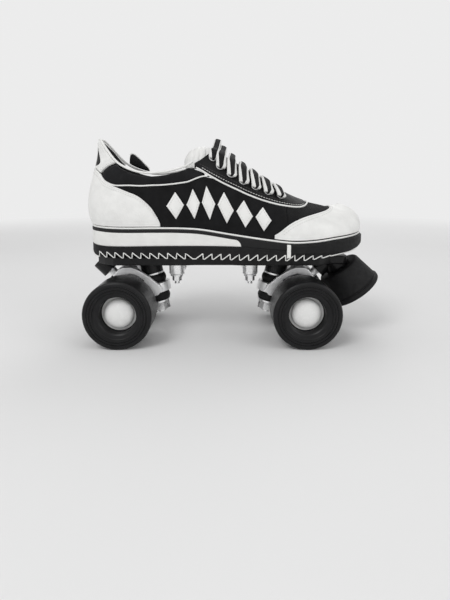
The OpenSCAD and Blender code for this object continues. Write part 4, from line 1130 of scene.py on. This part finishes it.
def stuff(ob, voxel, cap):
    """Blows a pad up as a stuffed cover, no point of it by more than cap millimetres."""
    scene = bpy.context.scene
    pressure, frames = 4, 20
    remesh(ob, voxel)
    bake(ob)
    slack = coordinates(ob.data)
    cloth = ob.modifiers.new("cloth", "CLOTH")
    cloth.settings.use_pressure = True
    cloth.settings.uniform_pressure_force = pressure
    cloth.settings.effector_weights.gravity = 0
    for number in range(1, frames + 1):
        scene.frame_set(number)
    graph = bpy.context.evaluated_depsgraph_get()
    moved = coordinates(ob.evaluated_get(graph).data) - slack
    ob.modifiers.clear()
    scene.frame_set(1)
    far = np.linalg.norm(moved, axis=1)
    kept = np.minimum(1, cap * MM / np.maximum(far, 1e-9))
    ob.data.vertices.foreach_set("co", (slack + moved * kept[:, None]).ravel())
    fine = ob.modifiers.new("fine", "SUBSURF")
    fine.levels = 1
    bake(ob)


def sew_channels(ob, places, deep=0.9, wide=0.9):
    """Draws a pad in along lines across the shoe, as rows of stitches do."""
    points = coordinates(ob.data)
    normals = np.array([v.normal[:] for v in ob.data.vertices])
    pull = sum(np.exp(-(((points[:, 0] / MM - x) / wide) ** 2)) for x in places)
    ob.data.vertices.foreach_set("co", (points - normals * (deep * MM * pull)[:, None]).ravel())
    ob.data.update()


def make_pads():
    lobe = lobe_rings(40, 24)
    # Name, rings, finish, node, slot, fill, size of the cover's mesh and most that it moves
    pads = (
        ("collar_pad", collar_rings(170, 32), lining_black, "collar", "cloth_black", 0.8, 1.3, 0.8),
        ("tongue_pad", tongue_rings(110, 48), leather_white, "tongue", "leather_white", 0.6, 1.4, 1.2),
        ("ankle_lobe_pad", lobe, lining_black, "ankle_lobe", "cloth_black", 0.7, 0.8, 0.5),
    )
    for name, rings, material, node, slot, fill, voxel, cap in pads:
        ob = piece(name, *loft(rings), material, node, slot=slot, crease=80)
        stuff(ob, voxel, cap)
        if name == "tongue_pad":
            sew_channels(ob, [skin(5, 1)[0] + x for x in tongue_seams])
    make_lobe_piping(lobe)


# Lace: one flat band that runs up the throat, over in a bar and under from eyelet to eyelet
def half_bar(c, crest):
    """Half a bar from inside an eyelet to the throat: places, half width, half thickness, and how far in from
    the edges the painted highlight reaches.
    """
    hide, hole, lift, puff, edge_lift, droop = wall_t + 2, 1.4, 3.4, 5, 3, 0.04
    half = lace_w / 2
    # Third size: how far the pale painted highlight reaches in from the edges; near the eyelets it covers the
    # lace's end
    bunch, neck, full = (1.6, 0.95, 6), (2.8, 1.2, 6), (half + 1, 2, 1.9)
    waist, band = (half + 0.7, 2, 1), (half - 0.3, 1.7, 1)
    t = eyelet_t(c)
    low, m = t - droop, (t + 1) / 2
    a, n, top = skin(c, t), skin_out(c, t), skin(c, 1)
    over = skin(c, m) + skin_out(c, m) * puff
    edge = np.array([top[0], 0.9 * top[1], top[2] + edge_lift])
    far = lengths(np.array([a, over, edge, crest])[:, 1:])
    over[0], edge[0] = a[0] + (crest[0] - a[0]) * far[1:3] / far[3]
    return [
        (a - n * hide, bunch), (a - n * hole, bunch), (a + n * hole, neck),
        (skin(c, low) + skin_out(c, low) * lift, full), (over, waist), (edge, band),
    ]


def lace_bar(k, s):
    """Keys along one bar, and the way up the throat there."""
    low, bulge, e = 4, 8, 0.1
    band = (lace_w / 2 - 0.4, 1.6, 1)
    c = lace_col(k)
    share = k / (lace_n - 1)
    fan = lace_fan * (1 - 2 * share)
    rise = low + bulge * (1 - share) ** 4
    crest = np.array([skin(c + fan, 1)[0], 0, skin(c, 1)[2] + rise])
    keys = half_bar(s * c, crest) + [(crest, band)] + half_bar(-s * c, crest)[::-1]
    up = (skin(c - e, 1) - skin(c + e, 1)) * np.array([1, 0, 1])
    return [(p, np.array(size), unit(up)) for p, size in keys]


def make_lace():
    keys = [key for k in range(lace_n - 1, -1, -1) for key in lace_bar(k, 1 if k % 2 == 0 else -1)]
    places, sizes, ways = (np.array(v) for v in zip(*keys))
    steps, twist, reach, square = 8, 0.35, 4, 0.9
    last = len(keys) - 1
    u = np.arange(steps * last + 1) / steps
    k = np.minimum(last - 1, u.astype(int))
    f = (u - k)[:, None]
    path = knot(places[np.maximum(0, k - 1)], places[k], places[k + 1], places[np.minimum(last, k + 2)], f)
    size = sizes[k] * (1 - f) + sizes[k + 1] * f
    throat = unit(ways[k] * (1 - f) + ways[k + 1] * f)
    i = np.arange(len(path))
    d = unit(path[np.minimum(i + reach, len(path) - 1)] - path[np.maximum(i - reach, 0)])
    out = np.stack([throat[:, 2], 0 * throat[:, 1], -throat[:, 0]], -1)
    side = unit(throat - np.sum(throat * d, -1, keepdims=True) * d + twist * np.cross(out, d))
    a = full_turn(24)
    across, high = size[:, :1] * round_pow(np.cos(a), square), size[:, 1:2] * round_pow(np.sin(a), square)
    rings = path[:, None] + across[..., None] * side[:, None] + high[..., None] * np.cross(side, d)[:, None]
    uv = loft_uv(rings, 1)
    # Across the band, stretched near the eyelets so that the painted highlight on the edges covers the lace
    # there
    uv[:-2, 1] = np.outer(size[:, 2], np.cos(a)).ravel() / MM
    piece("lace_band", *loft(rings), lace_black, "lace", uv=uv, crease=80)


# Sole: slices of one outline in plan, each a loft of rounded cross sections along the foot
def plan(c, out):
    """Outline in plan that stands out round the last's foot."""
    return ring_at(feet, c) + foot_out(c)[..., :2] * out


def stations(out, extra=()):
    """Places along the foot, close together at heel and toe, with the widths there."""
    c = np.sort(np.r_[np.linspace(0, TOE, 150), 0.03, 0.01, TOE - 0.01, TOE - 0.03])
    outer, inner = plan(c, out), plan(COLS - c, out)
    outer_x, inner_x = (np.maximum.accumulate(p[:, 0]) + 1e-6 * np.arange(len(c)) for p in (outer, inner))
    far = min(outer_x[-1], inner_x[-1])
    x = np.unique(np.round(np.r_[outer_x[outer_x < far], np.array(extra, float)], 4))
    x = x[(x >= outer_x[0]) & (x <= far)]
    return x, np.interp(x, outer_x, outer[:, 1]), np.interp(x, inner_x, inner[:, 1])


def slice_rings(x, y_outer, y_inner, z_low, z_high, rim):
    """Cross sections of a slice of the sole, rounded at their sides."""
    narrow, thin, most, rim_share = 0.3, 0.05, 0.3, 0.22
    f = graded(5, rim_share)
    y_middle = (y_outer + y_inner) / 2
    y_outer, y_inner = np.minimum(y_outer, y_middle - narrow), np.maximum(y_inner, y_middle + narrow)
    height = np.maximum(z_high - z_low, thin)[:, None]
    width = (y_inner - y_outer)[:, None]
    depth = np.minimum(f, 1 - f)[None] * height
    inset = np.minimum(rim * (1 - rounded(depth, rim)), most * width)
    z = z_low[:, None] + f[None] * height
    g = np.linspace(0, 1, 7)[1:-1][None]
    y_from, y_to = y_outer[:, None] + inset, y_inner[:, None] - inset
    across = y_from[:, -1:] + (y_to[:, -1:] - y_from[:, -1:]) * g
    y = np.concatenate([y_from, across, y_to[:, ::-1], across[:, ::-1]], 1)
    lid = np.broadcast_to(z[:, -1:], across.shape)
    floor = np.broadcast_to(z[:, :1], across.shape)
    z = np.concatenate([z, lid, z[:, ::-1], floor], 1)
    return np.stack([np.broadcast_to(x[:, None], y.shape), y, z], -1)


def wedge_top(x):
    """Top of the pale heel wedge, which follows the midsole and ends in a round nose."""
    foot = outsole_top(wedge_tip)
    s = np.clip((x - wedge_tip + wedge_nose) / wedge_nose, 0, 1)
    shaped = foot + (feather(x) - mid_t - foot) * np.sqrt(1 - s * s)
    return np.where(x < wedge_tip, shaped, outsole_top(x))


def tooth_points():
    """Feet and gaps of the teeth, which lean the other way in front of the arch and fade out to the toe."""
    flank, fade = 0.3, 4
    count = int((teeth_to - teeth_from) // tooth_pitch)
    made = []
    for k in range(count):
        x = teeth_from + k * tooth_pitch
        after = x + tooth_pitch
        a, b = ground(x), ground(after)
        top = (a + b) / 2 + tooth_depth * min(1, (count - k) / fade)
        if x < teeth_turn:
            made += [(x, a), (x + flank, top), (after - tooth_land, b)]
        else:
            made += [(x + tooth_land, a), (after - flank, top), (after - 0.02, b)]
    return made


def outsole_foot(x, teeth):
    """Lower edge of the outsole: round heel, teeth, plain toe."""
    first, last = teeth_from - 0.1, teeth_to + 2
    heel = [(-151.5, 16), (-146.5, 9.5), (-144, 5.2), (-140, 1.6), (-135.5, 0), (first, 0)]
    between = straight([(first, 0)] + teeth + [(last, ground(last))], x)
    return np.where(x < first, smooth(heel, x), np.where(x > last, ground(x), between))


def make_tooth_highlights(x, y_outer, y_inner, foot):
    """Pale cord along the teeth on both sides of the outsole, a painted highlight on the tooth edges."""
    radius, proud, rise, first, last = 0.5, 0.1, 0.3, -149, 132
    part = (x > first) & (x < last)
    for (name, side), y in zip(SIDES.items(), (y_outer, y_inner)):
        path = np.stack([x, y + proud * side, sole_z + foot + rise], -1)[part]
        # White cord where the edges of the teeth would catch the light: a painted highlight
        cord(name + "_tooth_highlight", path, radius, 8, foam_white, crease=80)


def make_sole():
    outsole_rim, wedge_rim, mid_rim = 0.6, 0.9, 0.7
    teeth = tooth_points()
    x, y0, y1 = stations(sole_margin, [p[0] for p in teeth])
    foot = outsole_foot(x, teeth)
    rings = slice_rings(x, y0, y1, sole_z + foot, sole_z + outsole_top(x), outsole_rim)
    piece("outsole_rubber", *loft(rings), rubber_black, "outsole", crease=30)
    # Painted highlights along the teeth
    make_tooth_highlights(x, y0, y1, foot)
    nose = wedge_tip - wedge_nose * (1 - np.sin(np.linspace(0, math.pi / 2, 24)))
    x, y0, y1 = stations(sole_margin, nose)
    rings = slice_rings(x, y0, y1, sole_z + outsole_top(x), sole_z + wedge_top(x), wedge_rim)
    piece("heel_wedge_foam", *loft(rings[x <= wedge_tip]), foam_white, "heel_wedge", crease=60)
    rings = slice_rings(x, y0, y1, sole_z + wedge_top(x), sole_z + feather(x), mid_rim)
    piece("midsole_foam", *loft(rings), foam_black, "midsole", crease=60)
    make_insole()
    make_bumper()


def make_insole():
    """Flat pad inside the walls, just over the midsole."""
    clear, gap, rim, girth = 1, 0.1, 1.5, 170
    x, y0, y1 = stations(-wall_t - clear)
    foot = sole_z + feather(x) + gap
    rings = slice_rings(x, y0, y1, foot, foot + insole_t, rim)
    uv = loft_uv(rings, girth)
    ob = piece("insole_terry", *loft(rings), terry_grey, "insole", slot="cloth_grey", uv=uv)


def columns_at(x, out):
    """Columns on the outer and the inner side where the outline passes x."""
    c = np.linspace(3, TOE - 0.5, 400)
    outer = np.interp(x, plan(c, out)[:, 0], c)
    inner = COLS - np.interp(x, plan(COLS - c, out)[:, 0], c)
    return outer, inner


def skirt(c, out, thick, low, high, rim):
    """Rings of a strip that goes round the outside of the sole."""
    x = plan(c, out)[:, 0]
    z0, z1 = sole_z + low(x), sole_z + high(x)
    edge, rim_share = 0.15, 0.2
    f = graded(6, rim_share)
    depth = np.minimum(f, 1 - f)[None] * (z1 - z0)[:, None]
    reach = out + thick * (edge + (1 - edge) * rounded(depth, rim))
    c_wide = np.broadcast_to(c[:, None], reach.shape)
    spot = ring_at(feet, c_wide) + foot_out(c_wide)[..., :2] * reach[..., None]
    z = z0[:, None] + f[None] * (z1 - z0)[:, None]
    face = np.concatenate([spot, z[..., None]], -1)
    back = [np.concatenate([plan(c, out), z[:, None]], -1)[:, None] for z in (z1, z0)]
    return np.concatenate([face, *back], 1)


def make_bumper():
    """Rubber strip round the toe, and a pale bar behind each of its ends that reaches down to the teeth."""
    out, gap, rim, top_gap, bar_drop = sole_margin + fit, 0.1, 1.2, 0.8, 3.6

    def low(x):
        return eased(bumper_at, x)

    def high(x):
        return feather(x) - top_gap

    outer, inner = columns_at(bar_x + bar_w + gap, out)
    rings = skirt(np.linspace(outer, inner, 190), out, bumper_t, low, high, rim)
    piece("toe_bumper_rubber", *loft(rings), rubber_black, "toe_bumper", crease=60)
    for name, c0, c1 in zip(SIDES, columns_at(bar_x, out), columns_at(bar_x + bar_w, out)):
        rings = skirt(np.linspace(c0, c1, 12), out, bumper_t, lambda x: low(x) - bar_drop, high, rim)
        node = "bumper_bars" if name == "outer" else None
        piece(name + "_bar_rubber", *loft(rings), foam_white, node, crease=60)


# Wheels
def arc(cx, cy, r, start, end, steps):
    a = np.radians(np.linspace(start, end, steps + 1))
    return [(cx + r * math.cos(v), cy + r * math.sin(v)) for v in a]


def tyre_outline():
    wall_r = hub_r + 0.8
    step_r = wall_r + 4.8
    inner_r, shoulder_r, inner_face = 3.5, 2.5, 2.5
    wide, flat, deep = 0.55, 0.25, 0.6
    groove = ((wide, wheel_w), (flat, wheel_w - deep), (-flat, wheel_w - deep), (-wide, wheel_w))
    seat = [(hub_r + fit, inner_face), (step_r, inner_face), (step_r + 1, 0.6), (wheel_r - inner_r - 1, 0)]
    mouth = [
        (step_r + 0.9, wheel_w), (step_r, wheel_w - 1.4), (wall_r + 1.4, wheel_w - 2),
        (wall_r, wheel_w - 3), (wall_r, hub_end), (hub_r + fit, hub_end),
    ]
    return (
        filleted(seat, 0.4)
        + arc(wheel_r - inner_r, inner_r, inner_r, -90, 0, 10)
        + arc(wheel_r - shoulder_r, wheel_w - shoulder_r, shoulder_r, 0, 90, 12)
        + [(r + off, h) for r in (wheel_r - 4.6, wheel_r - 7.2) for off, h in groove]
        + filleted(mouth, 0.5)[2:]
    )


def hub_outline():
    seat, shoulder = bearing_r + fit, bearing_r - 1.5
    first_end, second = 9, 14
    return filleted([
        (seat, 1), (hub_r - 1, 1), (hub_r, 2), (hub_r, hub_end), (seat, hub_end), (seat, second),
        (shoulder, second), (shoulder, first_end), (seat, first_end),
    ], 0.3, 2)


def dome(r, foot, start, end, steps):
    return [(r * math.cos(a), foot + cap_dome * math.sin(a)) for a in np.linspace(start, end, steps)]


def cap_outline():
    rim, wall, plug, pole = 1.1, 1.2, 2.6, math.pi / 2 - 0.004
    skirt_r = bearing_r - 0.05
    bore = skirt_r - wall
    base = hub_end + rim
    return (
        [(bore, hub_end - plug), (skirt_r, hub_end - plug), (skirt_r, hub_end), (cap_r - 0.5, hub_end)]
        + dome(cap_r, base, 0, pole, 28)
        + dome(bore, base - wall, pole, 0.35, 16)
    )


def make_wheels():
    turned = (
        ("_tyre_urethane", "_tyre", tyre_outline(), 192, tyre_black),
        ("_hub_core", "_hub", hub_outline(), 96, hub_white),
        ("_dome", "_cap", cap_outline(), 96, hub_white),
    )
    for end in ENDS:
        for side_name, side in SIDES.items():
            wheel = f"{end}_{side_name}"
            for name, node, outline, steps, material in turned:
                shape = lathe(outline, at_wheel(end, side), steps)
                piece(wheel + name, *shape, material, wheel + node, wheel + "_wheel", crease=35)


def make_toe_stop():
    """Rubber cone with rings moulded in its sole, a lip and a seat for the stem."""
    lip, bevel, seat, middle_r = 5, 1.5, 12, 0.02
    ring_n, ring_from, ring_pitch = 5, 3, 4.4
    ring = ((0, 0), (0.5, 0.7), (1.6, 0.7), (2.1, 0))
    rings = [(ring_from + off + ring_pitch * k, h) for k in range(ring_n) for off, h in ring]
    cone = [
        (stop_r - 1.6, 0), (stop_r, 1.6), (stop_r, lip), (stop_r - 2.2, lip + 0.7), (stop_r - 1.5, lip + 2.2),
        (stop_top_r, stop_len - bevel), (stop_top_r - bevel, stop_len), (stem_r + fit, stop_len),
    ]
    bore = [(stem_r + fit, stop_len - seat), (middle_r, stop_len - seat)]
    shape = lathe([(middle_r, 0)] + rings + filleted(cone, 0.8) + bore, leaning(stop_at, -stop_lean), 144)
    piece("toe_stop_cone", *shape, rubber_black, "toe_stop_rubber", "toe_stop", crease=35)


# Cushions: each sits between its cup at one end and the hanger's ring at the other
def cushion_outline():
    bore, end_r, round_off = 6.3, cushion_r - 1.2, 0.6
    straight_h = cushion_h - 2 * round_off
    bulge = [
        (end_r + (cushion_r - end_r) * math.sin(math.pi * u), round_off + straight_h * u)
        for u in np.linspace(0, 1, 17)
    ]
    wall = [(bore, cushion_h * u) for u in np.linspace(1, 0, 9)]
    return np.array([(end_r - round_off, 0)] + bulge + [(end_r - round_off, cushion_h)] + wall)


def make_cushions():
    for end in ENDS:
        place = at_king(end)
        for name, way in (("upper", 1), ("lower", -1)):
            outline = cushion_outline()
            outline[:, 1] = way * (cushion_from + outline[:, 1])
            shape = lathe(outline, place, 96)
            ob = piece(f"{end}_{name}_cushion", *shape, rubber_black, end + "_cushions", None, crease=50)
            held, rocked = (np.array([0, 0, way * h]) for h in (cushion_from + cushion_h, cushion_from))
            place(held) * MM
            place(rocked) * MM
            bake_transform(ob)


# Castings: the CAD solid with its edges softened as a casting's are
def recast(node, voxel, rounds, material):
    ob = add(node + "_casting", nodes[node].data.copy())
    remesh(ob, voxel)
    ease = ob.modifiers.new("ease", "SMOOTH")
    ease.iterations = rounds
    ease.factor = 0.5
    thin = ob.modifiers.new("thin", "DECIMATE")
    thin.ratio = 0.3
    bake(ob)
    dress(ob, material, node, nodes[node]["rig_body"], None, 60)


def make_castings():
    for end in ENDS:
        recast(end + "_hanger", 0.45, 4, cast_metal)
    recast("plate", 0.5, 3, plate_black)


# CAD nodes that show as they are
def finish_nodes():
    fasteners = [
        "kingpins", "kingpin_nuts", "cushion_cups", "mount_bolts", "mount_washers", "mount_nuts",
        "mount_lugs", "toe_stop_stem", "eyelets",
    ]
    axle_parts = [f"{e}_{k}" for e in ENDS for k in ("axle", "axle_washers", "axle_nuts")]
    kept = {
        bright_steel: fasteners + axle_parts,
        bearing_steel: [f"{e}_races" for e in ENDS] + [f"{e}_{s}_bearings" for e in ENDS for s in SIDES],
        cup_black: ["pivot_cups"],
    }
    for material, names in kept.items():
        for name in names:
            nodes[name].data.materials.clear()
            nodes[name].data.materials.append(material)


# Studio
PALE = 0.84


def seen_rays(tree):
    """Is 1 for what the camera sees, also through mirrors and glass, and 0 for light that falls on things."""
    path = tree.nodes.new("ShaderNodeLightPath")
    seen = path.outputs["Is Camera Ray"]
    for kind in ("Is Glossy Ray", "Is Transmission Ray"):
        either = tree.nodes.new("ShaderNodeMath")
        either.operation = "MAXIMUM"
        tree.links.new(seen, either.inputs[0])
        tree.links.new(path.outputs[kind], either.inputs[1])
        seen = either.outputs[0]
    return seen


def fade_out(floor):
    """Runs the floor into an even pale ground away from the object, as seen and as mirrored."""
    near, far = 0.75, 1.7
    reach = floor.node("VectorMath", {0: floor.where.outputs["Object"]}, operation="LENGTH").outputs["Value"]
    spread = {"Value": reach, "From Min": near, "From Max": far}
    share = floor.node("MapRange", spread, interpolation_type="SMOOTHSTEP").outputs[0]
    fac = floor.math("MULTIPLY", share, seen_rays(floor.tree))
    glow = floor.node("Emission", {"Color": (PALE, PALE, PALE, 1)})
    mixed = floor.node("MixShader", {0: fac, 1: floor.shader.outputs[0], 2: glow.outputs[0]})
    floor.tree.links.new(mixed.outputs[0], floor.tree.nodes["Material Output"].inputs["Surface"])


def make_stage():
    """Floor that runs up into a backdrop behind the object, in metres."""
    front, depth, radius, height, half = -3.0, 1.4, 0.7, 3.0, 4.0
    profile = [(front, 0), (depth, 0), *arc(depth, radius, radius, -90, 0, 23), (depth + radius, height)]
    points = [(x, y, z) for y, z in profile for x in (-half, half)]
    mesh = bpy.data.meshes.new("backdrop")
    mesh.from_pydata(points, [], grid_faces(len(profile), 2))
    mesh.shade_smooth()
    floor = Finish("backdrop", (0.8, 0.8, 0.8), 0.95, **{"Specular IOR Level": 0.1})
    floor.tint(floor.noise(400, 2), 0.985, 1.01)
    fade_out(floor)
    mesh.materials.append(floor.material)
    add("backdrop", mesh)


def add_light(name, place, aim, size, power):
    data = bpy.data.lights.new(name, "AREA")
    data.shape = "DISK"
    data.size = size
    data.energy = power
    ob = add(name, data)
    ob.location = place
    ob.rotation_euler = (Vector(aim) - Vector(place)).to_track_quat("-Z", "Y").to_euler()


def make_light():
    """Three soft lamps in a pale room, which is a little dimmer as a light than it looks."""
    aim = (0, 0, 0.09)
    add_light("key", (-0.7, -1.1, 1.3), aim, 0.8, 10)
    add_light("fill", (1.3, -0.9, 0.7), aim, 1.0, 4)
    add_light("rim", (0.3, 1.1, 1.2), aim, 0.9, 4)
    world = bpy.data.worlds.new("studio")
    bpy.context.scene.world = world
    world.use_nodes = True
    tree = world.node_tree
    back = tree.nodes["Background"]
    back.inputs["Color"].default_value = (PALE, PALE, PALE, 1)
    strength = tree.nodes.new("ShaderNodeMapRange")
    strength.inputs["To Min"].default_value = 0.75
    strength.inputs["To Max"].default_value = 1
    tree.links.new(seen_rays(tree), strength.inputs["Value"])
    tree.links.new(strength.outputs[0], back.inputs["Strength"])


def make_camera():
    data = bpy.data.cameras.new("camera")
    data.sensor_width = 36
    data.lens = 27.54
    data.shift_y = -0.0917
    data.clip_start = 0.01
    ob = add("camera", data)
    ob.location = (-0.0105, -0.467, 0.155)
    pitch = 8
    ob.rotation_euler = (math.radians(90 - pitch), 0, 0)
    bpy.context.scene.camera = ob


make_camera()
make_stage()
make_light()
make_upper()
make_edges()
make_lozenges()
make_stitches()
make_pads()
make_lace()
make_sole()
make_wheels()
make_toe_stop()
make_cushions()
make_castings()
finish_nodes()
bpy.context.scene.view_settings.view_transform = "Standard"
